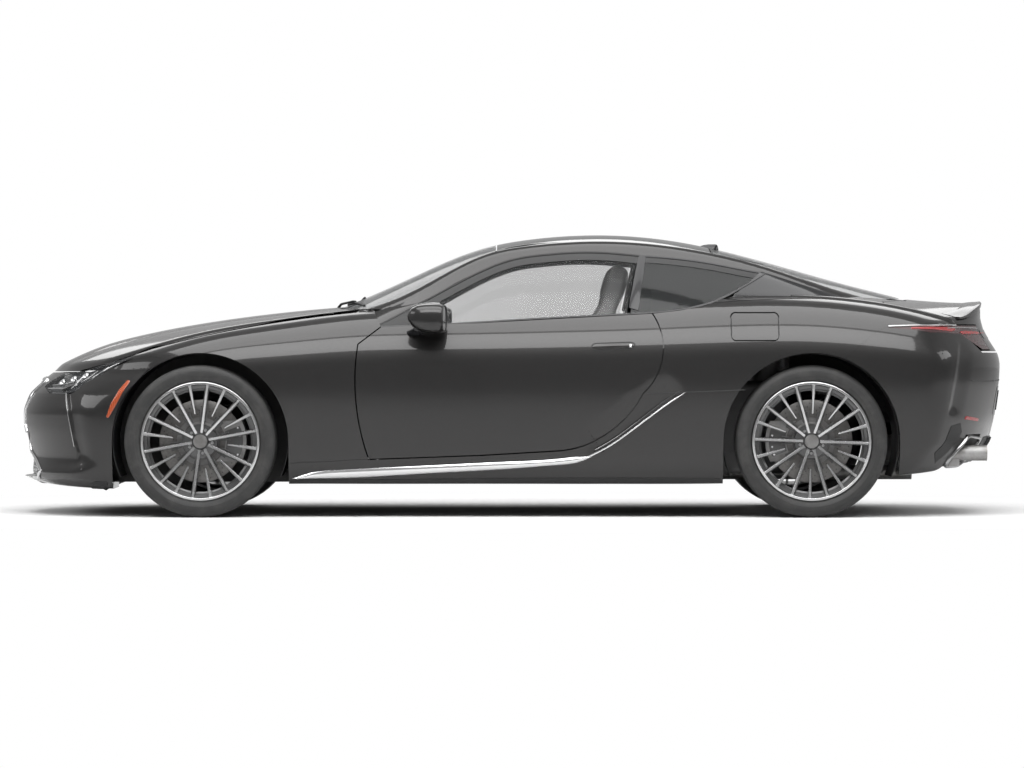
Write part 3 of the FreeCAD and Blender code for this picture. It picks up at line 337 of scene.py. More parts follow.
DARK_LEATHER = leather_finish("dark_leather", 0.035)
STITCH = leather_finish("stitch_thread", 0.40)
CARPET = carpet_finish()
HEADLINING = leather_finish("headlining_cloth", 0.16)
SCREEN_LIGHT = screen_light_finish()
CAST = cast_finish("cast_metal", 0.22)
UNDERCOAT = cast_finish("undercoat", 0.035, 0.2)
STEEL = cast_finish("exhaust_steel", 0.42, 0.95)


# ---------------------------------------------------------------- body surface

# The same sections as the CAD's, in mm. Columns: x, foot y, z, sill y, z, widest y, z, shoulder y, z, crown z.
LOWER = (
    (-2400, 600, 150, 660, 235, 745, 372, 640, 515, 600),
    (-2200, 705, 140, 765, 235, 802, 422, 650, 612, 712),
    (-2000, 800, 133, 850, 235, 868, 468, 675, 702, 802),
    (-1800, 845, 133, 892, 235, 918, 542, 735, 772, 858),
    (-1460, 868, 145, 915, 240, 945, 648, 768, 868, 922),
    (-1100, 852, 156, 898, 245, 930, 682, 728, 930, 969),
    (-700, 835, 156, 880, 250, 908, 700, 692, 978, 1001),
    (-300, 828, 156, 872, 250, 900, 704, 684, 990, 1010),
    (150, 830, 156, 874, 250, 902, 708, 684, 1002, 1022),
    (600, 843, 156, 888, 250, 918, 718, 690, 1018, 1040),
    (1050, 868, 160, 915, 252, 948, 730, 700, 1043, 1062),
    (1410, 882, 175, 930, 262, 960, 735, 694, 1044, 1066),
    (1700, 868, 192, 915, 275, 953, 718, 690, 1016, 1052),
    (1950, 835, 205, 882, 290, 924, 698, 690, 966, 1030),
    (2150, 780, 232, 830, 315, 880, 672, 676, 908, 1017),
    (2400, 690, 292, 750, 370, 812, 636, 640, 846, 1016),
)
# Columns: x, base y, z, rail y, z, crown z.
UPPER = (
    (-900, 840, 820, 742, 862, 952),
    (-650, 835, 860, 692, 985, 1064),
    (-400, 828, 860, 642, 1094, 1178),
    (-100, 822, 860, 592, 1244, 1290),
    (150, 820, 860, 572, 1286, 1331),
    (400, 818, 860, 562, 1300, 1345),
    (750, 808, 870, 558, 1278, 1322),
    (1100, 775, 885, 548, 1212, 1250),
    (1400, 732, 895, 532, 1118, 1168),
    (1650, 702, 900, 515, 1040, 1099),
    (1900, 655, 905, 500, 976, 1035),
    (2000, 640, 880, 490, 940, 1000),
)
NOSE = ((-2270, 60), (-2277, 135), (-2368, 178), (-2373, 205), (-2354, 262), (-2372, 400), (-2380, 500),
        (-2349, 579), (-2275, 646), (-2218, 690), (-2210, 760), (-2215, 1300))
TAIL = ((2150, 60), (2236, 229), (2323, 348), (2350, 455), (2376, 640), (2380, 720), (2370, 768),
        (2303, 872), (2284, 940), (2286, 1010), (2290, 1200))
NOSE_CENTRE, TAIL_CENTRE = -1230.0, 1020.0


def curve_through(rows, x):
    """Smooth columns of a table at lengths x, as one row of values for each column."""
    table = np.array(rows, float)
    knots, values = table[:, 0], table[:, 1:]
    step = np.diff(knots)
    count = len(knots)
    system, right = np.eye(count), np.zeros((count, values.shape[1]))
    for i in range(1, count - 1):
        system[i, i - 1:i + 2] = step[i - 1], 2 * (step[i - 1] + step[i]), step[i]
        right[i] = 6 * ((values[i + 1] - values[i]) / step[i] - (values[i] - values[i - 1]) / step[i - 1])
    bend = np.linalg.solve(system, right)
    i = np.clip(np.searchsorted(knots, x) - 1, 0, count - 2)
    h = step[i][:, None]
    a, b = (x - knots[i])[:, None], (knots[i + 1] - x)[:, None]
    out = (bend[i] * b ** 3 + bend[i + 1] * a ** 3) / (6 * h)
    out += (values[i] / h - bend[i] * h / 6) * b + (values[i + 1] / h - bend[i + 1] * h / 6) * a
    return out.T


def soft_max(first, second, radius):
    """The larger of two distances, rounded where they meet."""
    near = np.maximum(radius - np.abs(first - second), 0) / radius
    return np.maximum(first, second) + near * near * radius / 4


def ease(value, low, high):
    t = np.clip((value - low) / (high - low), 0, 1)
    return t * t * (3 - 2 * t)


def end_profile(rows, z, soft):
    table = np.array(rows, float)
    return sum(np.interp(z + shift * soft, table[:, 1], table[:, 0]) * weight
               for shift, weight in ((-24, 0.1), (-12, 0.2), (0, 0.4), (12, 0.2), (24, 0.1)))


def off_line(x, z, points):
    """Signed distance from a polyline drawn in the side view, positive on its left hand, and the length along it."""
    best = np.full(x.shape, 1e9)
    signed, run = best.copy(), best.copy()
    done = 0.0
    for (ax, az), (bx, bz) in zip(points, points[1:]):
        length = math.hypot(bx - ax, bz - az)
        ux, uz = (bx - ax) / length, (bz - az) / length
        t = np.clip((x - ax) * ux + (z - az) * uz, 0, length)
        px, pz = x - ax - t * ux, z - az - t * uz
        gap = np.hypot(px, pz)
        side = np.sign(ux * pz - uz * px)
        nearer = gap < best
        best = np.where(nearer, gap, best)
        signed = np.where(nearer, gap * side, signed)
        run = np.where(nearer, done + t, run)
        done += length
    return signed, run


SCOOP = ((330, 268), (420, 312), (540, 392), (660, 480), (760, 552), (840, 600))
NOSE_CREASE = ((-2112, 640), (-2104, 560), (-2088, 470), (-2068, 360), (-2050, 300), (-2050, 225))
TAIL_CREASE = ((2118, 860), (2104, 780), (2088, 680), (2060, 530), (2040, 470))


def carving(x, y, z):
    """How far the body's surface is drawn in, in mm, for its scoops and creases."""
    deep = np.zeros(x.shape)
    side, run = off_line(x, z, SCOOP)
    fade = ease(run, 30, 120) * (1 - ease(run, 470, 590))
    deep += 17 * fade * ease(side, -1, 3) * (1 - ease(side, 3, 150)) * (y > 500)
    side, run = off_line(x, z, NOSE_CREASE)
    fade = ease(run, 10, 90) * (1 - ease(run, 340, 415))
    deep += 8 * fade * ease(side, 0, 20) * (1 - ease(side, 20, 90)) * (y > 400)
    side, run = off_line(x, z, TAIL_CREASE)
    fade = ease(run, 10, 90) * (1 - ease(run, 330, 395))
    deep += 8 * fade * ease(side, 0, 20) * (1 - ease(side, 20, 95)) * (y > 400)
    # two shallow channels along the bonnet, which leave a raised middle
    middle = 330 + 90 * (x + 2200) / 1500
    deep += 6 * np.exp(-((y - middle) / 60) ** 2) * ease(x, -2240, -1950) * (1 - ease(x, -900, -680)) * (z > 560)
    return deep


def sections_gap(points, soft):
    """Signed distance in mm from the lower body's surface without its carving, positive outside; points in metres."""
    x, y, z = points.T * 1000
    y = np.abs(y)
    foot_y, foot_z, sill_y, sill_z, wide_y, wide_z, edge_y, edge_z, crown_z = curve_through(LOWER, x)
    edge_y = np.maximum(edge_y, wide_y - 0.97 * (edge_z - wide_z))
    high = (wide_y ** 2 - edge_y ** 2 - (edge_z - wide_z) ** 2) / (2 * (wide_y - edge_y))
    low = (wide_y ** 2 - sill_y ** 2 - (sill_z - wide_z) ** 2) / (2 * (wide_y - sill_y))
    centre = np.where(z > wide_z, high, low)
    side = np.hypot(y - centre, z - wide_z) - (wide_y - centre)
    # inside the shoulder the crown alone is the surface
    side -= 1.2 * np.maximum(edge_y - y, 0) * (z > wide_z)
    bend = (edge_y ** 2 + (crown_z - edge_z) ** 2) / (2 * (crown_z - edge_z))
    top = np.hypot(y, z - crown_z + bend) - bend
    slope = np.hypot(sill_y - foot_y, sill_z - foot_z)
    rocker = ((y - foot_y) * (sill_z - foot_z) - (z - foot_z) * (sill_y - foot_y)) / slope
    round_nose = np.hypot(x - NOSE_CENTRE, y)
    nose = np.where(x < NOSE_CENTRE, end_profile(NOSE, z, soft) - NOSE_CENTRE + round_nose, -500)
    round_tail = np.hypot(x - TAIL_CENTRE, y)
    tail = np.where(x > TAIL_CENTRE, TAIL_CENTRE + round_tail - end_profile(TAIL, z, soft), -500)
    body = soft_max(soft_max(side, top, 44 * soft), rocker, 16 * soft)
    body = soft_max(body, foot_z - z, 10 * soft)
    return soft_max(body, np.maximum(nose, tail), 40 * soft)


def plain_gap(points):
    """The lower body's surface with rounded corners and no carving."""
    return sections_gap(points, 1)


def hard_gap(points):
    """The same surface with the CAD's sharp corners."""
    return sections_gap(points, 0.001)


def lower_gap(points):
    x, y, z = points.T * 1000
    return plain_gap(points) + carving(x, np.abs(y), z)


def slope_of(gap, points):
    """Unit normals of a surface given as a distance."""
    step = 0.0015
    out = np.empty_like(points)
    for axis in range(3):
        shift = np.zeros(3)
        shift[axis] = step
        out[:, axis] = gap(points + shift) - gap(points - shift)
    return out / np.maximum(np.linalg.norm(out, axis=1, keepdims=True), 1e-9)


def settle(gap, points, rounds=4):
    """Points moved onto the surface along its slope."""
    points = points.copy()
    for _ in range(rounds):
        points -= slope_of(gap, points) * (gap(points) / 1000)[:, None]
    return points


def upper_gap(points):
    """Signed distance in mm from the cabin's surface, positive outside; points in metres."""
    x, y, z = points.T * 1000
    y = np.abs(y)
    base_y, base_z, rail_y, rail_z, crown_z = curve_through(UPPER, x)
    bend = (rail_y ** 2 + (crown_z - rail_z) ** 2) / (2 * (crown_z - rail_z))
    top = np.hypot(y, z - crown_z + bend) - bend
    length = np.hypot(base_y - rail_y, rail_z - base_z)
    side = ((y - base_y) * (rail_z - base_z) + (z - base_z) * (base_y - rail_y)) / length
    share = ((base_y - y) * (base_y - rail_y) + (z - base_z) * (rail_z - base_z)) / length ** 2
    side = side - 10 * (1 - (2 * np.clip(share, 0, 1) - 1) ** 2)
    return soft_max(side, top, 50)


def crossing(gap, place, low, high, rounds=24):
    """Values at which a surface is crossed, found by halving from one inside and one outside; place makes points."""
    for _ in range(rounds):
        middle = (low + high) / 2
        outside = gap(place(middle)) > 0
        high, low = np.where(outside, middle, high), np.where(outside, low, middle)
    return (low + high) / 2


def across_at(gap, x, z):
    """Half width in metres where a surface lies at lengths x and heights z, in mm."""
    x, z = np.asarray(x, float) / 1000, np.asarray(z, float) / 1000
    return crossing(gap, lambda y: np.stack([x, y, z], 1), np.full(x.shape, 0.2), np.full(x.shape, 1.15))


def height_at(gap, x, y):
    """Height in metres of a surface at lengths x and half widths y, in mm."""
    x, y = np.asarray(x, float) / 1000, np.asarray(y, float) / 1000
    return crossing(gap, lambda z: np.stack([x, y, z], 1), np.full(x.shape, 0.5), np.full(x.shape, 1.6))


def length_at(gap, y, z, start, end):
    """Length in metres where an end surface lies, looked for from a point inside to one outside."""
    y, z = np.asarray(y, float) / 1000, np.asarray(z, float) / 1000
    inside, beyond = np.full(y.shape, start / 1000), np.full(y.shape, end / 1000)
    return crossing(gap, lambda x: np.stack([x, y, z], 1), inside, beyond, 26)


def run_along(points):
    """Length from the first point of a line to each of its points."""
    return np.concatenate([[0], np.cumsum(np.linalg.norm(np.diff(points, axis=0), axis=1))])


def around(count):
    """Even angles of a full turn."""
    return np.linspace(0, 2 * math.pi, count, endpoint=False)


# ---------------------------------------------------------------- making pieces

class Form:
    """Vertices and faces of a piece as it is put together, in metres."""

    def __init__(self):
        self.points, self.faces = [], []

    def add(self, points, faces):
        first = len(self.points)
        self.points.extend(map(tuple, np.asarray(points, float)))
        self.faces.extend([tuple(first + i for i in face) for face in faces])
        return self

    def join(self, *others):
        for other in others:
            self.add(other.points, other.faces)
        return self

    def loft(self, rings, close=True, ends=False):
        """Skin over equal rings of points; ends joins the last ring to the first."""
        count, size = len(rings), len(rings[0])
        faces = []
        for a in range(count if ends else count - 1):
            b = (a + 1) % count
            for i in range(size if close else size - 1):
                j = (i + 1) % size
                faces.append((a * size + i, a * size + j, b * size + j, b * size + i))
        if not ends:
            faces.append(tuple(range(size))[::-1])
            faces.append(tuple((count - 1) * size + i for i in range(size)))
        return self.add(np.concatenate([np.asarray(ring, float) for ring in rings]), faces)

    def turn(self, profile, centre, steps=72, closed=True, axis="y"):
        """Turned body from a profile of (distance along the axis, radius)."""
        order = {"x": (2, 0, 1), "y": (0, 2, 1), "z": (0, 1, 2)}[axis]
        rings = []
        for n in range(steps):
            angle = 2 * math.pi * n / steps
            ring = np.array([(r * math.cos(angle), r * math.sin(angle), a) for a, r in profile])
            rings.append(ring[:, order] + np.array(centre))
        return self.loft(rings, close=closed, ends=True)

    def tube(self, path, radius, sides=10, taper=None):
        """Round bar along a path; taper gives each point's share of the radius."""
        path = np.asarray(path, float)
        ahead = np.gradient(path, axis=0)
        ahead /= np.linalg.norm(ahead, axis=1, keepdims=True)
        up = np.array([0.0, 0.0, 1.0]) if abs(ahead[0][2]) < 0.9 else np.array([1.0, 0.0, 0.0])
        rings = []
        for n, (spot, way) in enumerate(zip(path, ahead)):
            side = np.cross(way, up)
            side /= np.linalg.norm(side)
            up = np.cross(side, way)
            size = radius * (taper[n] if taper is not None else 1)
            rings.append([spot + size * (math.cos(t) * side + math.sin(t) * up)
                          for t in around(sides)])
        return self.loft(rings)

    def bar(self, path, outward, width, depth, taper=None, arch=0.35):
        """Moulding along a path: a low crowned section of that width, standing out by depth and sunk by as much."""
        path, outward = np.asarray(path, float), np.asarray(outward, float)
        ahead = np.gradient(path, axis=0)
        ahead /= np.linalg.norm(ahead, axis=1, keepdims=True)
        beside = np.cross(ahead, outward)
        beside /= np.linalg.norm(beside, axis=1, keepdims=True)
        shape = ((-0.5, -1.0), (-0.5, 1 - arch * 2), (-0.38, 1 - arch * 0.6), (-0.2, 1 - arch * 0.1), (0, 1.0),
                 (0.2, 1 - arch * 0.1), (0.38, 1 - arch * 0.6), (0.5, 1 - arch * 2), (0.5, -1.0))
        rings = []
        for n in range(len(path)):
            wide = width * (taper[n] if taper is not None else 1)
            rings.append([path[n] + beside[n] * wide * s + outward[n] * depth * t for s, t in shape])
        return self.loft(rings)

    def block(self, low, high, soft=0.0):
        """Box with bevelled edges."""
        mesh = bmesh.new()
        bmesh.ops.create_cube(mesh, size=1)
        low, high = np.array(low, float), np.array(high, float)
        for v in mesh.verts:
            v.co = Vector((low + high) / 2 + np.array(v.co) * (high - low))
        if soft:
            bmesh.ops.bevel(mesh, geom=mesh.edges[:], offset=soft, segments=3, affect="EDGES", profile=0.5)
        mesh.verts.index_update()
        self.add([v.co for v in mesh.verts], [[v.index for v in face.verts] for face in mesh.faces])
        mesh.free()
        return self

    def mirrored(self):
        """The same form on the other side of the car, added to this one."""
        count = len(self.points)
        self.points.extend([(x, -y, z) for x, y, z in self.points])
        self.faces.extend([tuple(count + i for i in face[::-1]) for face in self.faces])
        return self

    def moved(self, matrix):
        self.points = [tuple(matrix @ Vector(point)) for point in self.points]
        if matrix.determinant() < 0:
            self.faces = [face[::-1] for face in self.faces]
        return self

    def copy(self):
        other = Form()
        other.points, other.faces = list(self.points), list(self.faces)
        return other

    def piece(self, name, finish, slot=None, body="body", smooth=35):
        """Makes the object, on a body of the frame."""
        mesh = bpy.data.meshes.new(name)
        mesh.from_pydata(self.points, [], self.faces)
        work = bmesh.new()
        work.from_mesh(mesh)
        bmesh.ops.remove_doubles(work, verts=work.verts, dist=1e-6)
        bmesh.ops.recalc_face_normals(work, faces=work.faces)
        work.to_mesh(mesh)
        work.free()
        return dress_mesh(mesh, name, body, finish, smooth)


def dress_mesh(mesh, name, body, finish, smooth=35):
    """Object for a finished mesh: finish, smooth shading and body."""
    made = bpy.data.objects.new(name, mesh)
    bpy.context.scene.collection.objects.link(made)
    mesh.materials.clear()
    mesh.materials.append(finish)
    if smooth:
        mesh.shade_smooth()
        if smooth < 180:
            mesh.set_sharp_from_angle(angle=math.radians(smooth))
    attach(made, body)
    return made


def node_mesh(name):
    """Merged working copy of a CAD node."""
    work = bmesh.new()
    work.from_mesh(NODES[name].data)
    bmesh.ops.remove_doubles(work, verts=work.verts, dist=2e-5)
    return work


def coordinates(work):
    return np.array([vert.co[:] for vert in work.verts], float)


# CAD faces within the depth in mm, and turned towards the surface's own slope, are the panel's skin. Its edges are
# cut to the lengths in metres, the shorter where the surface bows away from them by more than the bow in mm.
SKIN_DEPTH, SKIN_FACING, BOW = 5.0, 0.55, 0.25
LONG_EDGE, SHORT_EDGE = 0.045, 0.009
LAMP_TOP, UNDER_LAMP = 0.904, 0.008


def press_in(work, gap):
    """Corners at the tail that stand out of the smooth surface laid on it, and well under it behind the lamps."""
    points = coordinates(work)
    proud = np.flatnonzero((hard_gap(points) > 3) & (points[:, 0] > 2.0))
    spots = settle(gap, points[proud], 10)
    spots -= slope_of(gap, spots) * np.where(spots[:, 2] < LAMP_TOP, UNDER_LAMP, 0.0)[:, None]
    work.verts.ensure_lookup_table()
    for number, spot in zip(proud, spots):
        work.verts[number].co = spot


def panel(node, body, finish):
    """Body panel on its CAD outline, with a denser outer skin laid on the smooth body surface."""
    gap = lower_gap
    work = node_mesh(node)
    if node.startswith("body_side"):
        press_in(work, gap)
        work.normal_update()
    points = coordinates(work)
    work.verts.index_update()
    on_skin = np.abs(hard_gap(points)) < SKIN_DEPTH
    layer = work.faces.layers.int.new("skin")
    middles = np.array([face.calc_center_median()[:] for face in work.faces], float)
    facing = [slope_of(hard_gap, middles), slope_of(gap, middles)]
    for number, face in enumerate(work.faces):
        outward = any(np.dot(way[number], face.normal) > SKIN_FACING for way in facing)
        if outward and all(on_skin[v.index] for v in face.verts):
            face[layer] = 1
    for _ in range(7):
        moving = [vert for vert in work.verts if any(face[layer] for face in vert.link_faces)]
        spots = settle(gap, np.array([vert.co[:] for vert in moving], float))
        for vert, spot in zip(moving, spots):
            vert.co = spot
        edges = [edge for edge in work.edges if any(face[layer] for face in edge.link_faces)]
        middles = np.array([(edge.verts[0].co + edge.verts[1].co)[:] for edge in edges], float) / 2
        bowed = np.abs(gap(middles)) > BOW
        coarse = [edge for edge, bow in zip(edges, bowed)
                  if edge.calc_length() > (SHORT_EDGE if bow else LONG_EDGE)]
        if not coarse:
            break
        bmesh.ops.subdivide_edges(work, edges=coarse, cuts=1)
        bmesh.ops.triangulate(work, faces=[face for face in work.faces if len(face.verts) > 3])
    work.verts.index_update()
    moving = [vert for vert in work.verts if any(face[layer] for face in vert.link_faces)]
    spots = settle(gap, np.array([vert.co[:] for vert in moving], float))
    outer = {}
    for vert, spot, normal in zip(moving, spots, slope_of(gap, spots)):
        vert.co = spot
        outer[vert.index] = normal
    work.normal_update()
    mesh = bpy.data.meshes.new(node + "_panel")
    work.to_mesh(mesh)
    skin = np.zeros(len(mesh.polygons), int)
    mesh.attributes["skin"].data.foreach_get("value", skin)
    work.free()
    mesh.shade_smooth()
    loops = []
    for face, outside in zip(mesh.polygons, skin):
        for index in face.vertices:
            loops.append(outer[index] if outside and index in outer else face.normal)
    made = dress_mesh(mesh, node + "_panel", body, finish, smooth=0)
    mesh.normals_split_custom_set([tuple(n) for n in loops])
    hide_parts(node)
    return made


# ---------------------------------------------------------------- body panels

# panels that hinge have a body of their own name
for node in ("bonnet wing_left wing_right front_bumper body_side_left body_side_right door_left door_right boot_lid "
             "rear_bumper fuel_flap").split():
    panel(node, node if node in frame["bodies"] else "body", PAINT)
panel("tail_lamps", "body", SMOKED_LENS)

# CAD nodes that stay, and those whose stand-ins come below
for finish, nodes in (
        (SCREEN_GLASS, "windscreen rear_window"), (ROOF_GLASS, "roof_panel"), (PRIVACY_GLASS, "quarter_glass"),
        (SIDE_GLASS, "door_glass_left door_glass_right"), (PAINT, "roof_frame mirror_left mirror_right"),
        (UNDERCOAT, "floor front_frame"), (PLASTIC, "scuttle grille"), (CARPET, "boot_tub"), (STEEL, "exhaust"),
        (CAST, "front_suspension rear_suspension engine knuckle_front_left knuckle_front_right knuckle_rear_left "
               "knuckle_rear_right"),
        (DARK_LEATHER, "dashboard steering_wheel"), (CLEAR_LENS, "headlamps"),
        (SEAT_LEATHER, "seat_left seat_right rear_seat")):
    for node in nodes.split():
        mesh = NODES[node].data
        mesh.materials.clear()
        mesh.materials.append(finish)


# ---------------------------------------------------------------- wheels and tyres

AXLES = {"front": (-1.460, 0.803, 0.1225), "rear": (1.410, 0.805, 0.1375)}
AXLE_Z = 0.358
RIM_RADIUS, BEAD_RADIUS = 0.280, 0.266
WHEEL_TURN = {"front": 0.13, "rear": 0.35}


class Repeater:
    """Geometry node tree that lays copies of a piece on points; its inputs are named with their kinds."""

    def __init__(self, name, **inputs):
        self.tree = bpy.data.node_groups.new(name, "GeometryNodeTree")
        socket = self.tree.interface.new_socket
        for label, kind in {"Piece": "Geometry", **inputs, "Finish": "Material"}.items():
            socket(label.replace("_", " "), in_out="INPUT", socket_type="NodeSocket" + kind)
        socket("Repeated", in_out="OUTPUT", socket_type="NodeSocketGeometry")
        self.given, self.result = self.node("NodeGroupInput"), self.node("NodeGroupOutput")

    def node(self, kind, settings=None, **sockets):
        return add_node(self.tree, kind, settings, **sockets)

    def values(self, *labels):
        """The number of each copy, and the named inputs."""
        number = self.node("GeometryNodeInputIndex").outputs[0]
        return [Value(self.tree, socket) for socket in (number, *(self.given.outputs[label] for label in labels))]

    def lay(self, points, turn=(0, 0, 0)):
        """Copies on the points, made real and given their finish."""
        copies = self.node("GeometryNodeInstanceOnPoints", Points=points.outputs[0],
                           Instance=self.given.outputs["Piece"], Rotation=turn)
        solid = self.node("GeometryNodeRealizeInstances", n0=copies.outputs[0])
        painted = self.node("GeometryNodeSetMaterial", Geometry=solid.outputs[0],
                            Material=self.given.outputs["Finish"])
        feed(self.tree, painted.outputs[0], self.result.inputs[0])
        return self.tree


def ring_tree():
    """Repeats a piece round the Y axis through the origin, turning each copy."""
    ring = Repeater("repeat_round_axle", Count="Int", Start="Float")
    number, count, start = ring.values("Count", "Start")
    turn = ring.node("ShaderNodeCombineXYZ", Y=number / count * (2 * math.pi) + start)
    return ring.lay(ring.node("GeometryNodePoints", Count=count), turn.outputs[0])


def row_tree():
    """Repeats a piece in straight rows and columns, by even steps, in the plane across the car."""
    rows = Repeater("repeat_in_rows", Across="Int", Up="Int", Step_Across="Float", Step_Up="Float")
    number, across, up, step_across, step_up = rows.values("Across", "Up", "Step Across", "Step Up")
    row = (number / across).floor()
    place = rows.node("ShaderNodeCombineXYZ", Y=(number - row * across) * step_across, Z=row * step_up)
    return rows.lay(rows.node("GeometryNodePoints", Count=across * up, Position=place.outputs[0]))


RING, ROWS = ring_tree(), row_tree()


def repeated(form, tree, finish, **numbers):
    """Form made of copies of another one, by a node tree with its inputs set by name."""
    mesh = bpy.data.meshes.new("one_piece")
    mesh.from_pydata(form.points, [], form.faces)
    source = bpy.data.objects.new("one_piece", mesh)
    bpy.context.scene.collection.objects.link(source)
    modifier = source.modifiers.new("repeat", "NODES")
    modifier.node_group = tree
    sockets = {item.name: item.identifier for item in tree.interface.items_tree
               if item.item_type == "SOCKET" and item.in_out == "INPUT"}
    modifier[sockets["Finish"]] = finish
    for label, value in numbers.items():
        modifier[sockets[label.replace("_", " ")]] = value
    graph = bpy.context.evaluated_depsgraph_get()
    made = bpy.data.meshes.new_from_object(source.evaluated_get(graph))
    result = Form()
    result.add([v.co[:] for v in made.vertices], [tuple(face.vertices) for face in made.polygons])
    bpy.data.objects.remove(source)
    bpy.data.meshes.remove(made)
    return result


def spoke(inner, outer, root, tip, face, depth, slant):
    """One spoke standing up from the axle: its two ends' radii and widths, outer face and depth, in metres."""
    rings = []
    for share in np.linspace(0, 1, 7):
        radius = inner + (outer - inner) * share
        half = (root + (tip - root) * share) / 2
        out = face + slant * (1 - share) ** 1.6
        edge = min(0.0022, half * 0.5)
        back = out + depth * (0.75 + 0.25 * share)
        rings.append([(-half, out + edge, radius), (-half + edge, out, radius), (half - edge, out, radius),
                      (half, out + edge, radius), (half * 0.7, back, radius), (-half * 0.7, back, radius)])
    return Form().loft(rings)


def wheel_forms(half):
    """Parts of a left wheel about its own centre, outer side towards -Y: bright spokes, grey rim and cap."""
    lip = -(half - 0.018)
    inside = BEAD_RADIUS - 0.010
    rim = Form().turn(((lip, 0.2770), (lip - 0.001, 0.2785), (lip + 0.0015, RIM_RADIUS), (lip + 0.005, RIM_RADIUS),
                       (-half * 0.8, BEAD_RADIUS), (half * 0.8, BEAD_RADIUS), (-lip - 0.004, RIM_RADIUS),
                       (-lip, RIM_RADIUS - 0.001), (-lip, 0.268), (half * 0.7, inside), (half * 0.2, 0.246),
                       (-half * 0.3, 0.240), (lip + 0.032, 0.238), (lip + 0.026, 0.246), (lip + 0.016, 0.2485),
                       (lip + 0.012, 0.2615), (lip + 0.004, 0.2640)), (0, 0, 0), 120)
    bright = Form().turn(((lip - 0.0010, 0.2665), (lip - 0.0028, 0.2690), (lip - 0.0028, 0.2755),
                          (lip - 0.0008, 0.2792), (lip + 0.004, 0.2792), (lip + 0.006, 0.2640)), (0, 0, 0), 160)
    long_spoke = spoke(0.040, 0.2660, 0.0150, 0.0125, lip + 0.001, 0.018, 0.022)
    short_spoke = spoke(0.130, 0.2660, 0.0085, 0.0165, lip + 0.001, 0.018, 0.012)
    bright.join(repeated(long_spoke, RING, MACHINED, Count=10, Start=0.0),
                repeated(short_spoke, RING, MACHINED, Count=10, Start=math.pi / 10))
    web = Form()
    for angle in (-0.035, 0.035):
        rib = spoke(0.050, 0.250, 0.010, 0.005, lip + 0.009, 0.015, 0.022)
        web.join(rib.moved(Matrix.Rotation(angle, 4, "Y")))
    rim.join(repeated(web, RING, POCKET, Count=10, Start=0.0))
    link = spoke(0.090, 0.140, 0.004, 0.010, lip + 0.014, 0.012, 0.010)
    for start in (-0.19, 0.19):
        rim.join(repeated(link, RING, POCKET, Count=10, Start=math.pi / 10 + start))
    hub_face = lip + 0.021
    hub = ((hub_face + 0.006, 0.0), (hub_face, 0.030), (hub_face, 0.036), (hub_face + 0.006, 0.041),
           (hub_face + 0.008, 0.080), (hub_face + 0.030, 0.086), (hub_face + 0.046, 0.080), (hub_face + 0.046, 0.0))
    rim.turn(hub, (0, 0, 0), 64, closed=False)
    cap = Form().turn(((hub_face - 0.006, 0.0), (hub_face - 0.0055, 0.020), (hub_face - 0.002, 0.028),
                       (hub_face + 0.002, 0.030)), (0, 0, 0), 48, closed=False)
    cap.turn(((hub_face - 0.0025, 0.0285), (hub_face - 0.004, 0.0300), (hub_face - 0.0025, 0.0318),
              (hub_face + 0.001, 0.0318), (hub_face + 0.001, 0.0285)), (0, 0, 0), 48)
    nut = Form().loft([[(0.0105 * s * math.cos(t), hub_face + 0.016 - d, 0.057 + 0.0105 * s * math.sin(t))
                        for t in around(6)]
                       for d, s in ((0.0, 1.0), (0.014, 1.0), (0.017, 0.8))])
    cap.join(repeated(nut, RING, POCKET, Count=5, Start=0.31))
    rim.tube([(0, lip + 0.030, 0.250), (0, lip + 0.012, 0.243), (0, lip + 0.004, 0.240)], 0.0035, 8)
    return bright, rim, cap


def disc_form(half):
    """Ventilated brake disc with its bell, and pad slots on the ring."""
    out = -(half - 0.076)
    disc = Form()
    disc.turn(((out, 0.112), (out, 0.192), (out + 0.002, 0.195), (out + 0.010, 0.195), (out + 0.012, 0.188),
               (out + 0.020, 0.188), (out + 0.022, 0.195), (out + 0.030, 0.195), (out + 0.032, 0.192),
               (out + 0.032, 0.112)), (0, 0, 0), 120)
    bell = Form().turn(((out - 0.012, 0.060), (out - 0.014, 0.084), (out - 0.010, 0.090), (out + 0.002, 0.0915),
                        (out + 0.004, 0.113), (out + 0.020, 0.113), (out + 0.020, 0.060)), (0, 0, 0), 80)
    drill = Form().turn(((out - 0.0004, 0.0), (out - 0.0004, 0.0026), (out + 0.001, 0.0030)), (0, 0, 0), 8,
                        closed=False)
    holes = Form()
    for radius, angle in ((0.128, 0.0), (0.145, 0.07), (0.162, 0.14), (0.178, 0.21)):
        holes.join(drill.copy().moved(Matrix.Translation((radius * math.sin(angle), 0, radius * math.cos(angle)))))
    holes = repeated(holes, RING, PLASTIC, Count=18, Start=0.1)
    return disc, bell, holes


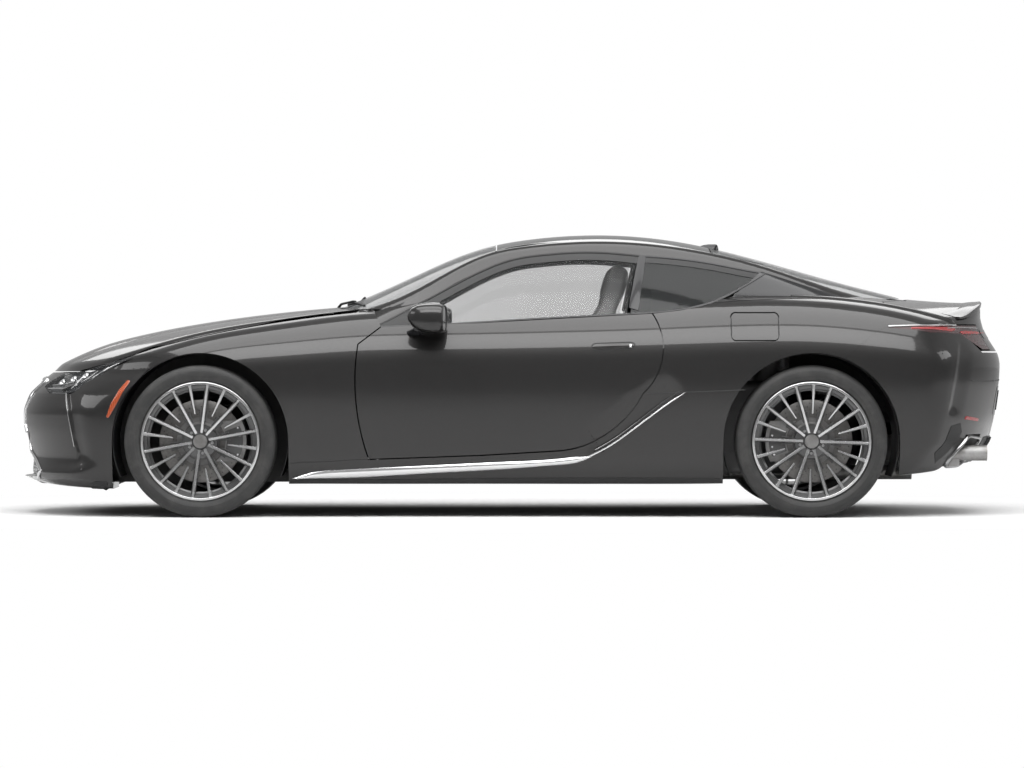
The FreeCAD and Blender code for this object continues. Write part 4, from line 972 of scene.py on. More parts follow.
def tyre_form(half):
    """Tyre carcass with grooves round the tread, shoulder ribs and a rim protector, and its cross blocks."""
    top, bead = 0.358, BEAD_RADIUS + 0.0003
    side = ((0.800, bead), (0.815, 0.2795), (0.865, 0.2835), (0.885, 0.2862), (0.925, 0.2880), (0.965, 0.2990),
            (0.985, 0.3060), (0.992, 0.3065), (1.000, 0.3150), (0.998, 0.3230), (0.988, 0.3300), (0.982, 0.3305),
            (0.968, 0.3370), (0.935, 0.3450), (0.900, 0.3505), (0.860, 0.3540))
    tread = ((0.800, 0.3560), (0.560, 0.3576), (0.552, 0.3505), (0.482, 0.3505), (0.474, 0.3578), (0.190, top),
             (0.182, 0.3505), (0.100, 0.3505), (0.092, top))
    right = [(half * a, r) for a, r in (*side, *tread)]
    profile = right + [(-a, r) for a, r in reversed(right)]
    tyre = Form().turn(profile, (0, 0, 0), 120)
    sipe = Form()
    for low, high, lean in ((0.58, 0.86, 0.010), (0.21, 0.46, 0.016)):
        for sign in (-1, 1):
            ends = ((half * low * sign, -lean), (half * high * sign, lean))
            radius = [0.3581 - (0.0045 if share > 0.8 else 0.0010 if share > 0.5 else 0) for share in (low, high)]
            sipe.loft([[(x + a * 0.0012, y, r - b * 0.004) for a, b in ((-1, 0), (1, 0), (1, 1), (-1, 1))]
                       for (y, x), r in zip(ends, radius)])
    sipes = repeated(sipe, RING, PLASTIC, Count=64, Start=0.0)
    return tyre, sipes


def build_wheels():
    for end, (x, y, half) in AXLES.items():
        (bright, rim, cap), (disc, bell, holes), (tyre, sipes) = wheel_forms(half), disc_form(half), tyre_form(half)
        turned = Matrix.Rotation(WHEEL_TURN[end], 4, "Y")
        for side, sign in SIDES:
            body = f"wheel_{end}_{side}"
            place = Matrix.Translation((x, sign * y, AXLE_Z)) @ turned
            if sign > 0:
                place = place @ Matrix.Diagonal((1, -1, 1, 1))
            for label, form, finish, slot, smooth in (
                    ("spokes", bright, MACHINED, None, 35), ("rim", rim, POCKET, None, 35),
                    ("cap", cap, DARK_CHROME, None, 35), ("disc", disc, IRON, None, 35),
                    ("bell", bell, CAST, None, 35), ("disc_holes", holes, PLASTIC, "chassis_metal", 0),
                    ("tyre", tyre, RUBBER, None, 28), ("tread_cuts", sipes, PLASTIC, "tyre", 0)):
                form.copy().moved(place).piece(f"{label}_{end}_{side}", finish, slot, body, smooth)
            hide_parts(f"wheel_{end}_{side}")
            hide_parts(f"tyre_{end}_{side}")


build_wheels()


# ---------------------------------------------------------------- mouldings and details on the body

def both_sides(form, name, finish, slot=None, body="body"):
    """One piece for both sides on the car's body, or a piece for each side on its own body."""
    if body in frame["bodies"]:
        return [form.mirrored().piece(name, finish, slot, body)]
    other = form.copy().moved(Matrix.Diagonal((1, -1, 1, 1)))
    return [half.piece(f"{name}_{side}", finish, slot, f"{body}_{side}")
            for half, side in ((form, "left"), (other, "right"))]


def side_path(points, gap=lower_gap, lift=0.0, step=0.018):
    """Path on the left side surface through points x, z in mm, on a smooth curve, with its outward directions."""
    points = np.array(points, float)
    run = run_along(points)
    at = np.linspace(0, run[-1], max(6, int(run[-1] / 1000 / step)))
    x, z = curve_through(np.column_stack([run, points]), at)
    spots = np.column_stack([x / 1000, across_at(gap, x, z), z / 1000])
    out = slope_of(gap, spots)
    return (spots + out * lift) * (1, -1, 1), out * (1, -1, 1)


def moulding(name, points, width, depth, finish, body="body", gap=lower_gap, lift=0.0, taper=None):
    """Crowned moulding along a side-view line, on both sides of the car."""
    spots, out = side_path(points, gap, lift)
    wide = np.interp(np.linspace(0, 1, len(spots)), *zip(*taper)) if taper else None
    both_sides(Form().bar(spots, out, width, depth, wide), name, finish, body=body)


def ribbon(name, upper, lower, thick, finish, slot=None, body="body", gap=lower_gap, lift=0.001, count=60, rows=7,
           crown=0.0):
    """Shaped strip between two side-view lines, following the body surface and crowned across its width."""
    lines = []
    for points in np.array(upper, float), np.array(lower, float):
        run = run_along(points)
        lines.append(curve_through(np.column_stack([run, points]), np.linspace(0, 1, count) * run[-1]).T)
    across = np.linspace(0, 1, rows)
    rings = []
    for high, low in zip(*lines):
        x, z = high[:, None] + (low - high)[:, None] * across
        spots = np.column_stack([x / 1000, across_at(gap, x, z), z / 1000])
        out = slope_of(gap, spots)
        edge = np.minimum(across, 1 - across) * math.hypot(*(low - high)) / 1000
        rise = np.where(edge < 0.0015, lift + thick * 0.3, lift + thick + crown * np.sin(np.pi * across))
        rings.append(np.concatenate([spots + out * rise[:, None], (spots - out * thick)[::-1]]) * (1, -1, 1))
    both_sides(Form().loft(rings), name, finish, slot, body)


# sill blade, the edges that run on from it up the scoop, and the sill's skirt
ribbon("sill_blade", ((-1029, 186), (-960, 206), (-800, 224), (-400, 243), (0, 262), (229, 276), (330, 287),
                      (372, 290)),
       ((-1029, 182), (-900, 182), (-700, 187), (-400, 205), (0, 228), (229, 246), (330, 262), (378, 284)),
       0.004, BRIGHT, crown=0.007, count=80)
moulding("scoop_edge", ((366, 287), (450, 330), (560, 405), (660, 480), (745, 542), (818, 588)), 0.009, 0.005, BRIGHT,
         gap=plain_gap, lift=0.001, taper=((0, 1.2), (0.6, 0.8), (0.9, 0.8), (1, 0.3)))
moulding("scoop_inner_edge", ((395, 318), (480, 368), (575, 438), (665, 508), (735, 560), (800, 600)), 0.004, 0.003,
         DARK_CHROME, gap=plain_gap, lift=-0.001, taper=((0, 1), (1, 0.4)))
# painted shade: a thin black bar along the crease ahead of the rear wheel
moulding("quarter_crease", ((640, 581), (800, 588), (960, 594), (1096, 600)), 0.004, 0.0012, SATIN_BLACK)
moulding("sill_joint", ((-1040, 256), (-900, 262), (-760, 270), (-672, 276)), 0.005, 0.0012, PLASTIC)
ribbon("sill_skirt", ((-1040, 176), (-600, 178), (0, 184), (500, 186), (985, 184)),
       ((-1040, 160), (-600, 158), (0, 158), (500, 158), (985, 166)), 0.002, PLASTIC, count=50, rows=4)


def ring_of(outline, count=48):
    """Even points round a closed side-view outline, in mm."""
    corners = np.array([*outline, outline[0]], float)
    run = run_along(corners)
    at = np.linspace(0, run[-1], count, endpoint=False)
    return np.column_stack([np.interp(at, run, corners[:, 0]), np.interp(at, run, corners[:, 1])])


def round_corners(outline, radius):
    """Closed outline with its corners rounded."""
    points = np.array(outline, float)
    rounded = []
    for before, corner, after in zip(np.roll(points, 1, axis=0), points, np.roll(points, -1, axis=0)):
        back, ahead = before - corner, after - corner
        reach = min(radius, 0.45 * np.hypot(*back), 0.45 * np.hypot(*ahead))
        start, end = corner + back * reach / np.hypot(*back), corner + ahead * reach / np.hypot(*ahead)
        for t in (0, 0.25, 0.5, 0.75, 1):
            rounded.append(start * (1 - t) ** 2 + corner * 2 * t * (1 - t) + end * t * t)
    return np.array(rounded)


def on_side(gap, x, z, lift):
    """Points on the left side surface at x and z in mm, lifted outwards by metres."""
    spots = np.column_stack([np.asarray(x) / 1000, across_at(gap, x, z), np.asarray(z) / 1000])
    return (spots + slope_of(gap, spots) * np.reshape(lift, (-1, 1))) * (1, -1, 1)


def patch(outline, thick, crown=0.0, lift=0.0, gap=lower_gap, sink=None, soft=0.92):
    """Raised plate on the left side surface inside a closed outline, with a rounded edge."""
    ring = ring_of(outline, 64)
    middle = ring.mean(axis=0)
    levels = [(1.0, -(thick if sink is None else sink)), (1.0, lift + thick * 0.35),
              (0.5 + soft / 2, lift + thick * 0.85), (soft, lift + thick)]
    levels += [(share * soft, lift + thick + crown * (1 - share ** 2)) for share in np.linspace(0.93, 0.03, 14)]
    return Form().loft([on_side(gap, *(middle + (ring - middle) * share).T, np.full(len(ring), level))
                        for share, level in levels])


def loop(outline, width, depth, gap=lower_gap, lift=0.0):
    """Closed moulding round an outline on the left side surface."""
    ring = ring_of(outline, 80)
    ring = np.concatenate([ring, ring[:1]])
    spots = on_side(gap, *ring.T, np.full(len(ring), lift))
    out = slope_of(gap, spots * (1, -1, 1)) * (1, -1, 1)
    return Form().bar(spots, out, width, depth)


# flush door handles, each on a dark plate that paints the shade of a recess round it
HANDLE = round_corners(((376, 790), (376, 809), (392, 820), (566, 826), (583, 818), (583, 800), (568, 789),
                        (392, 783)), 14)
handle_line = HANDLE.mean(axis=0) + (HANDLE - HANDLE.mean(axis=0)) * (0.955, 0.70)
# painted shade: a black plate just proud of the door skin, where a recess round the handle would be shaded
both_sides(patch(HANDLE, 0.0012, sink=0.004), "handle_recess", PLASTIC, body="door")
both_sides(patch(handle_line, 0.0045, crown=0.003, sink=0.001, soft=0.86), "door_handle", PAINT, body="door")
both_sides(patch(((556, 797), (556, 812), (566, 812), (566, 797)), 0.0012, lift=0.006, sink=-0.004), "handle_pad",
           BRIGHT, body="door")

# dark seal at the bottom of the gap round the fuel flap
FLAP = round_corners(((1034, 834), (1034, 959), (1254, 959), (1254, 834)), 28)
loop(FLAP, 0.0050, 0.0022, lift=-0.0030).piece("fuel_flap_seal", PLASTIC)

# side markers, slanted along the front wheel openings
MARKER = round_corners(((-1787, 640), (-1800, 648), (-1840, 600), (-1882, 528), (-1902, 470), (-1890, 466),
                        (-1858, 520), (-1822, 588)), 8)
both_sides(patch(MARKER, 0.003, crown=0.002), "side_marker", AMBER_LENS)
both_sides(loop(MARKER, 0.003, 0.0022), "side_marker_rim", PLASTIC)

# small air deflectors ahead of and behind the wheels
both_sides(patch(((-1990, 150), (-1984, 118), (-1962, 108), (-1936, 124), (-1900, 146), (-1900, 168), (-1960, 168)),
                 0.004),
           "front_deflector", PLASTIC)

# bright strip on the cabin rail behind the side window, and the dark sail below it
ribbon("sail_panel", ((1200, 1168), (1290, 1134), (1430, 1086), (1560, 1046), (1650, 1016)),
       ((1040, 1030), (1160, 1034), (1300, 1032), (1460, 1022), (1600, 1008)), 0.003, GLOSS_BLACK, "roof_black",
       gap=upper_gap, lift=0.0006, count=60, rows=9)
ribbon("rail_strip", ((1196, 1184), (1260, 1164), (1360, 1130), (1460, 1096), (1560, 1064), (1640, 1036)),
       ((1196, 1178), (1260, 1154), (1360, 1118), (1460, 1085), (1560, 1055), (1638, 1033)), 0.002, BRIGHT,
       gap=upper_gap, crown=0.002, count=50, rows=5)


def deck(rows, sink):
    """Thin panel lying on top of the body; rows of y, first x and last x in mm."""
    rings = []
    for y, first, last in rows:
        x, y = np.linspace(first, last, 8), np.full(8, y)
        top = np.column_stack([x / 1000, y / 1000, height_at(plain_gap, x, abs(y)) - sink])
        rings.append(np.concatenate([top, top[::-1] - (0, 0, 0.006)]))
    return Form().loft(rings)


# sill under the rear window, ahead of the boot lid, and the painted corners beside it
y = np.linspace(-560, 560, 49)
first, last = (np.interp(abs(y), (0, 300, 560), ends) for ends in ((1845, 1838, 1700), (1906, 1896, 1774)))
deck(zip(y, first, last), 0.004).piece("rear_window_cowl", PLASTIC)
y = np.linspace(535, 655, 9)
last = np.interp(y, (535, 600, 655), (1780, 1763, 1763))
for label, side in SIDES[::-1]:
    deck(zip(side * y, np.full(9, 1655), last), 0.0015).piece(f"window_corner_{label}", PAINT)
# ---------------------------------------------------------------- window surrounds, mirrors and roof fittings

DLO_TOP = ((-640, 893), (-560, 935), (-334, 1058), (-133, 1163), (11, 1216), (154, 1238), (393, 1250), (609, 1233))
QUARTER_TOP = ((612, 1233), (760, 1222), (960, 1195), (1100, 1168), (1206, 1149))
BELT = ((-636, 893), (-334, 905), (0, 925), (300, 942), (560, 955))
QUARTER_BELT = ((566, 956), (663, 961), (800, 977), (921, 1002), (1058, 1060), (1206, 1147))


def lowered(points, drop):
    """A side-view line moved down along its slope."""
    points = np.array(points, float)
    way = np.gradient(points, axis=0)
    way /= np.linalg.norm(way, axis=1, keepdims=True)
    return points + np.column_stack([way[:, 1], -way[:, 0]]) * drop


# seals and dark frames round the windows
moulding("window_seal", DLO_TOP, 0.011, 0.003, PLASTIC, gap=upper_gap, lift=0.001)
ribbon("glass_frame", lowered(DLO_TOP[1:], 4), lowered(DLO_TOP[1:], 36), 0.0012, SATIN_BLACK, body="door",
       gap=upper_gap, lift=0.0004, count=60, rows=4)
moulding("belt_seal", BELT, 0.012, 0.004, GLOSS_BLACK, body="door", gap=upper_gap, lift=0.001)
moulding("quarter_seal", QUARTER_TOP, 0.010, 0.003, GLOSS_BLACK, gap=upper_gap, lift=0.001)
moulding("quarter_belt_seal", QUARTER_BELT, 0.012, 0.004, GLOSS_BLACK, gap=upper_gap, lift=0.001)
ribbon("quarter_frame", lowered(QUARTER_TOP, 4), lowered(QUARTER_TOP, 30), 0.001, SATIN_BLACK,
       gap=upper_gap, lift=0.0004, count=40, rows=4)
ribbon("quarter_pillar", ((557, 985), (580, 1110), (606, 1233)), ((600, 972), (622, 1110), (640, 1230)), 0.0035,
       GLOSS_BLACK, gap=upper_gap, lift=0.001, count=24, rows=5)
ribbon("front_corner", ((-640, 893), (-560, 932), (-470, 982), (-396, 1024)),
       ((-638, 891), (-560, 895), (-470, 899), (-392, 903)), 0.0035, SATIN_BLACK, body="door", gap=upper_gap,
       lift=0.0008, count=30, rows=6)
ribbon("pillar_foot", ((-668, 990), (-600, 992), (-520, 996), (-440, 1012)),
       ((-640, 896), (-585, 924), (-520, 960), (-446, 1002)), 0.003, PAINT, gap=upper_gap, lift=-0.0030, count=40,
       rows=6)
moulding("roof_rail_joint", ((-560, 1010), (-396, 1095), (-240, 1178), (-91, 1250), (11, 1278), (160, 1296),
                             (327, 1301), (600, 1292), (900, 1256), (1208, 1195)), 0.005, 0.0018, PLASTIC,
                             gap=upper_gap)


# door mirrors: a shell on an arm from the door, glass to the rear
def mirror_forms():
    """Parts of the left door mirror: shell, back, glass, arm, bright edge and lamp."""
    rings = []
    # x, upper z, lower z, inner y, outer y
    stations = ((-486, 950, 940, 905, 985), (-482, 968, 918, 890, 1010), (-466, 988, 893, 876, 1034),
                (-440, 999, 876, 866, 1052), (-405, 1003, 866, 860, 1063), (-365, 1004, 863, 858, 1065),
                (-336, 1002, 866, 860, 1062), (-326, 998, 871, 864, 1058))
    for x, top, base, inner, outer in stations:
        ring = []
        for turn in around(40):
            c, s = math.cos(turn), math.sin(turn)
            wide = np.sign(c) * abs(c) ** 0.62
            tall = np.sign(s) * abs(s) ** 0.66
            y = (inner + outer) / 2 + wide * (outer - inner) / 2
            z = (top + base) / 2 + tall * (top - base) / 2
            lean = (z - base) / (top - base) * 14
            ring.append((x / 1000 + (outer - y) / 1000 * 0.10, -(y - lean * 0.3) / 1000, z / 1000))
        rings.append(ring)
    shell = Form().loft(rings)
    edge = np.array(rings[-1])
    middle = edge.mean(axis=0)
    back, glass = (Form().loft([middle + (edge - middle) * share + (shift, 0, 0) for share, shift in steps])
                   for steps in (
        ((0.97, -0.002), (0.97, 0.005), (0.93, 0.007), (0.90, 0.001), (0.6, 0.001), (0.1, 0.001)),
        ((0.88, 0.0), (0.88, 0.0025), (0.5, 0.0028), (0.05, 0.0028))))
    rings = []
    for share in np.linspace(0, 1, 12):
        y = 858 + (928 - 858) * share
        x = -452 + 24 * share
        z = 868 + 8 * share + 12 * share ** 2
        wide, tall = 78 - 26 * share, 34 - 8 * share
        rings.append([((x + wide / 2 * np.sign(math.cos(t)) * abs(math.cos(t)) ** 0.7) / 1000, -y / 1000,
                       (z + tall / 2 * math.sin(t)) / 1000) for t in around(20)])
    blade = Form().loft(rings)
    strip_path = np.array([(-0.470, -0.905, 0.9890), (-0.440, -0.935, 1.0005), (-0.405, -0.965, 1.0052),
                           (-0.365, -0.985, 1.0060), (-0.332, -0.995, 1.0040)])
    strip = Form().bar(strip_path, np.tile((0, 0, 1.0), (5, 1)), 0.006, 0.0018)
    turn_lamp = Form().bar([(-0.4765, -0.925, 0.935), (-0.472, -0.965, 0.936), (-0.460, -1.000, 0.938),
                            (-0.440, -1.0300, 0.941)],
                           [(-1, -0.1, 0), (-1, -0.3, 0), (-0.9, -0.5, 0), (-0.7, -0.7, 0)], 0.012, 0.006)
    return shell, back, glass, blade, strip, turn_lamp


for label, side in SIDES:
    for form, (part, finish, smooth) in zip(mirror_forms(), (
            ("shell", PAINT, 60), ("frame", PLASTIC, 35), ("glass", MIRROR_GLASS, 35), ("arm", GLOSS_BLACK, 60),
            ("strip", BRIGHT, 35), ("lamp", AMBER_LENS, 35))):
        form.moved(Matrix.Diagonal((1, -side, 1, 1)))
        form.piece(f"mirror_{part}_{label}", finish, None, f"door_{label}", smooth)
    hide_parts(f"mirror_{label}")

# aerial fin
fin = Form().loft([[(x + (w - 0.5) * length, side * half * math.sqrt(max(0.0, 1 - (2 * w - 1) ** 2)), z)
           for side, shares in ((1, np.linspace(0, 1, 12)), (-1, np.linspace(1, 0, 12)[1:-1])) for w in shares]
          for x, length, half, z in ((0.950, 0.125, 0.020, 1.262), (0.952, 0.120, 0.018, 1.282),
                                     (0.962, 0.095, 0.011, 1.292), (0.972, 0.066, 0.006, 1.299),
                                     (0.980, 0.042, 0.0025, 1.302))])
fin.piece("aerial_fin", GLOSS_BLACK, smooth=50)
# ---------------------------------------------------------------- lamps, grille and bumper details

# Lengths in mm between which the nose and the tail are looked for.
NOSE_REACH, TAIL_REACH = (-1400, -2600), (1500, 2700)


def swept(points, thick, lift=0.0, side=-1, reach=NOSE_REACH, count=56, soft=0.9):
    """Raised plate on the nose or the tail, inside an outline in the front view, y and z in mm."""
    ring = ring_of(points, count)
    middle = ring.mean(axis=0)
    levels = [(1.0, -thick), (1.0, lift + thick * 0.3), (0.5 + soft / 2, lift + thick * 0.85), (soft, lift + thick)]
    levels += [(share * soft, lift + thick) for share in np.linspace(0.95, 0.02, 18)]
    rings = []
    for share, level in levels:
        y, z = (middle + (ring - middle) * share).T
        x = length_at(plain_gap, y, z, *reach)
        spots = np.column_stack([x, np.asarray(y) / 1000, np.asarray(z) / 1000])
        rings.append((spots + slope_of(plain_gap, spots) * level) * (1, side, 1))
    return Form().loft(rings)


def swept_loop(points, width, depth, lift=0.0, reach=NOSE_REACH, count=90, closed=True):
    """Moulding along a line in the front view, laid on the nose or the tail."""
    points = np.array([*points, points[0]] if closed else points, float)
    run = run_along(points)
    at = np.linspace(0, run[-1], count)
    y, z = np.interp(at, run, points[:, 0]), np.interp(at, run, points[:, 1])
    x = length_at(plain_gap, np.abs(y), z, *reach)
    spots = np.column_stack([x, np.abs(y) / 1000, z / 1000])
    out = slope_of(plain_gap, spots)
    flip_y = np.where(y < 0, -1.0, 1.0)[:, None] * (0, 1, 0) + (1, 0, 1)
    return Form().bar((spots + out * lift) * flip_y, out * flip_y, width, depth)


# headlamps: dark housing seen through the lens, bright reflector blades and three projectors
LAMP_BED = ((-2232, 612), (-2150, 662), (-2020, 688), (-1805, 748), (-1935, 677), (-2020, 634), (-2066, 600),
            (-2120, 585), (-2205, 588))


def blade_strip(points, width, depth, lift):
    spots, out = side_path(points, plain_gap, lift, step=0.008)
    return Form().bar(spots, out, width, depth, arch=0.2)


lamp_bed = patch(LAMP_BED, 0.001, lift=-0.0165, sink=0.019, gap=plain_gap)
both_sides(lamp_bed, "lamp_housing", GLOSS_BLACK, "lamp")
blades = Form().join(*(blade_strip(points, width, 0.003, lift) for points, width, lift in (
    (((-2222, 606), (-2160, 607), (-2110, 610), (-2060, 628)), 0.009, -0.006),
    (((-2196, 622), (-2130, 628), (-2078, 640)), 0.006, -0.006),
    (((-2090, 606), (-2060, 636), (-2034, 668)), 0.010, -0.005),
    (((-2040, 636), (-2000, 662), (-1962, 690)), 0.008, -0.005),
    (((-1990, 655), (-1945, 684), (-1905, 708)), 0.007, -0.005),
    (((-1935, 688), (-1890, 712), (-1850, 730)), 0.006, -0.005))))
both_sides(blades, "lamp_reflectors", BRIGHT, "lamp")
projectors = Form()
for x, z in ((-2150, 640), (-2088, 656), (-2026, 672)):
    spot = on_side(plain_gap, [x], [z], [-0.012])[0]
    out = slope_of(plain_gap, np.array([spot]) * (1, -1, 1))[0] * (1, -1, 1)
    lens = Form().turn([(0.0, 0.0), (0.0, 0.020), (0.006, 0.0185), (0.011, 0.012), (0.0125, 0.0)], (0, 0, 0), 28,
                       closed=False, axis="z")
    lens.moved(Matrix.Translation(Vector(spot)) @ Vector(out).to_track_quat("Z", "Y").to_matrix().to_4x4())
    projectors.join(lens)
both_sides(projectors, "lamp_projectors", MIRROR_GLASS, "lamp")
both_sides(loop(round_corners(LAMP_BED, 6), 0.004, 0.0012, gap=plain_gap, lift=0.0), "lamp_seal", PLASTIC)

# dark bright strips down the front corners
both_sides(blade_strip(((-2112, 600), (-2104, 540), (-2090, 470), (-2072, 380), (-2062, 330)), 0.007, 0.003, 0.0),
           "corner_strip", DARK_CHROME)

# tail lamps: smoked lens with a bright upper edge and a red bar
both_sides(blade_strip(((1772, 897), (1880, 900), (2000, 902), (2108, 903)), 0.006, 0.004, 0.002), "tail_lamp_edge",
           BRIGHT, "lamp")
red_bar = patch(((1880, 886), (1990, 884), (2090, 874), (2108, 884), (2100, 894), (1990, 896), (1880, 894)), 0.002,
                crown=0.001, gap=plain_gap)
both_sides(red_bar, "tail_lamp_bar", RED_LENS)

# grille: bright surround and a mesh of wavy bars behind it
GRILLE = ((0, 648), (300, 640), (318, 560), (262, 430), (340, 300), (520, 212), (470, 178), (0, 178))
GRILLE_RING = [*GRILLE, *[(-y, z) for y, z in reversed(GRILLE) if y > 0]]


def inside(points, y, z):
    """Whether each point lies inside a closed outline."""
    result = np.zeros(np.shape(y), bool)
    for (ay, az), (by, bz) in zip(points, [*points[1:], points[0]]):
        crosses = (az > z) != (bz > z)
        with np.errstate(divide="ignore", invalid="ignore"):
            at = ay + (z - az) / (bz - az) * (by - ay)
        result ^= crosses & (y < at)
    return result


def mesh_cell():
    """One wavy upright wire of the mesh, and its mate crossing it."""
    cell = Form()
    for lean in (-1, 1):
        path = [(0.0, lean * 0.0085 * math.sin(2 * math.pi * t), t * 0.036) for t in np.linspace(0, 1, 9)]
        cell.bar(path, [(-1, 0, 0)] * 9, 0.0042, 0.004)
    return cell


ACROSS, PITCH, MESH_FOOT, MESH_DEPTH = 62, 0.017, 0.166, 0.009
wires = repeated(mesh_cell(), ROWS, GLOSS_BLACK, Across=ACROSS, Up=14, Step_Across=PITCH, Step_Up=0.036)
spots = np.array(wires.points)
spots += (0, -(ACROSS - 1) * PITCH / 2, MESH_FOOT - spots[:, 2].min())
keep = inside(GRILLE_RING, spots[:, 1] * 1000, spots[:, 2] * 1000)
spots[:, 0] += length_at(plain_gap, np.abs(spots[:, 1]) * 1000, spots[:, 2] * 1000, *NOSE_REACH) + MESH_DEPTH
kept = Form().add(spots, [face for face in wires.faces if all(keep[i] for i in face)])
kept.piece("grille_mesh", DARK_CHROME, "black_plastic")
backing = swept(GRILLE_RING, 0.001, lift=-0.024, soft=0.995, count=160).piece("grille_backing", PLASTIC)
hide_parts("grille")
swept_loop(GRILLE_RING, 0.020, 0.006, lift=0.002, count=220).piece("grille_surround", BRIGHT)
inner_ring = [(y * 0.955, 413 + (z - 413) * 0.955) for y, z in GRILLE_RING]
swept_loop(inner_ring, 0.012, 0.004, lift=-0.004, count=220).piece("grille_inner_surround", GLOSS_BLACK)

# ---------------------------------------------------------------- tail

def both_tail(points, thick, **more):
    return swept(points, thick, side=1, reach=TAIL_REACH, **more).mirrored()


for name, points, thick, finish, more in (
        ("plate_recess", round_corners(((-300, 470), (-268, 612), (268, 612), (300, 470)), 24), 0.0015, GLOSS_BLACK,
         {"soft": 0.99}),
        ("rear_plate", round_corners(((-168, 496), (-168, 592), (168, 592), (168, 496)), 8), 0.004, SATIN_BLACK,
         {"soft": 0.97, "lift": 0.002}),
        ("diffuser", ((-440, 246), (-400, 372), (400, 372), (440, 246)), 0.003, PLASTIC, {"soft": 0.99})):
    swept(points, thick, reach=TAIL_REACH, **more).piece(name, finish)
for number, y in enumerate((-300, -180, -60, 60, 180, 300)):
    fin_path = [(length_at(plain_gap, [abs(y)], [z], *TAIL_REACH)[0], y / 1000, z / 1000)
                for z in np.linspace(250, 366, 12)]
    Form().bar(fin_path, [(1, 0, -0.2)] * 12, 0.010, 0.012, arch=0.15).piece(f"diffuser_fin_{number}", PLASTIC)
both_tail(((742, 250), (700, 400), (735, 440), (800, 430), (812, 300)), 0.002, soft=0.98).piece(
    "corner_vents", PLASTIC)
both_tail(round_corners(((560, 446), (560, 462), (700, 474), (712, 458)), 6), 0.003).piece(
    "rear_reflectors", RED_LENS)
# painted shade: a thin black bar along the crease across the tail
crease = swept_loop(((0, 642), (300, 640), (560, 636), (700, 640)), 0.006, 0.002, reach=TAIL_REACH, closed=False)
crease.mirrored().piece("bumper_crease", SATIN_BLACK)

# exhaust finishers: bright frames round the twin pipes
FRAME = round_corners(((474, 236), (470, 366), (640, 378), (668, 300), (650, 236)), 26)
swept_loop(FRAME, 0.016, 0.010, lift=0.002, reach=TAIL_REACH).mirrored().piece("exhaust_frames", DARK_CHROME)
both_tail([(560 + (y - 560) * 0.93, 306 + (z - 306) * 0.9) for y, z in FRAME], 0.001, lift=-0.030, soft=0.98).piece(
    "exhaust_mesh", PLASTIC)

# lip along the boot lid's rear edge
lip_rows = []
for y in np.linspace(-590, 590, 61):
    edge_x = length_at(plain_gap, [abs(y)], [925], *TAIL_REACH)[0] * 1000
    full = 1 - float(ease(np.array(abs(y)), 380, 590))
    row = []
    for back, rise in ((110, -3), (84, 0.5), (50, 2 + 3 * full), (22, 3 + 7 * full), (4, 3 + 9 * full),
                       (-2, 1 + 6 * full), (0, -8)):
        row.append(((edge_x - back) / 1000, y / 1000,
                    height_at(plain_gap, [edge_x - max(back, 22)], [abs(y)])[0] + rise / 1000))
    lip_rows.append([*row, (row[0][0], row[0][1], row[0][2] - 0.006)])
Form().loft(lip_rows).piece("boot_lid_lip", PAINT, body="boot_lid", smooth=50)

# dark bar across the boot lid with a red line, carried on by light guides in the tail lamps under a bright edge
LID_HALF, LAMP_START = 368, 396
swept(round_corners(((-LID_HALF, 842), (-LID_HALF, 884), (LID_HALF, 884), (LID_HALF, 842)), 6), 0.0015, lift=0.0008,
      soft=0.99, reach=TAIL_REACH, count=90).piece("lamp_bar", GLOSS_BLACK, "lamp", body="boot_lid")
swept_loop(((-LID_HALF, 868), (0, 868), (LID_HALF, 868)), 0.005, 0.003, reach=TAIL_REACH, closed=False).piece(
    "lamp_bar_line", RED_LENS, body="boot_lid")
GUIDE = ((LAMP_START, 862), (LAMP_START, 873), (600, 877), (650, 874), (640, 862))
REVERSE = ((LAMP_START, 806), (LAMP_START, 816), (520, 822), (536, 812))
both_tail(round_corners(GUIDE, 3), 0.003, lift=0.001).piece("tail_guides", RED_LENS)
both_tail(round_corners(REVERSE, 3), 0.0025, lift=0.001).piece("reverse_lamps", CLEAR_LENS)
swept_loop(((LAMP_START, 890), (520, 892), (650, 893), (735, 889)), 0.005, 0.003, lift=0.001, reach=TAIL_REACH,
           closed=False).mirrored().piece("tail_lamp_trim", BRIGHT, "lamp")
# ---------------------------------------------------------------- door trims, carpets, headlining and belts

def drawn_in(gap, depth):
    """The surface that lies at a depth in mm inside another one."""
    return lambda points: gap(points) + depth


DOOR_WALL = drawn_in(plain_gap, 130)


def trim_pad(name, outline, radius, thick, finish, body="body", lift=0.0, crown=0.0, soft=0.92):
    """Raised pad on the inner wall of the doors or the quarters, standing in towards the cabin."""
    form = patch(round_corners(outline, radius), -thick, crown=-crown, lift=-lift, gap=DOOR_WALL, sink=-0.006,
                 soft=soft)
    for piece in both_sides(form, name, finish, body=body):
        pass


trim_pad("door_card", ((-598, 362), (-604, 560), (-606, 780), (-566, 842), (-420, 858), (550, 866), (592, 800),
                       (588, 690), (500, 560), (410, 452), (300, 374), (180, 356)), 40, 0.008, DARK_LEATHER,
                       body="door", soft=0.985)
trim_pad("door_top_roll", ((-588, 806), (-560, 846), (-300, 860), (540, 866), (578, 812), (-300, 800)), 18, 0.024,
         DARK_LEATHER, body="door", crown=0.008, soft=0.8)
trim_pad("door_insert", ((-470, 690), (-480, 780), (-300, 790), (500, 796), (540, 740), (480, 684)), 28, 0.014,
         SEAT_LEATHER, body="door", crown=0.008, soft=0.82)
trim_pad("door_armrest", ((-470, 588), (-500, 650), (-380, 668), (330, 676), (420, 640), (350, 600)), 22, 0.060,
         DARK_LEATHER, body="door", crown=0.006, soft=0.86)
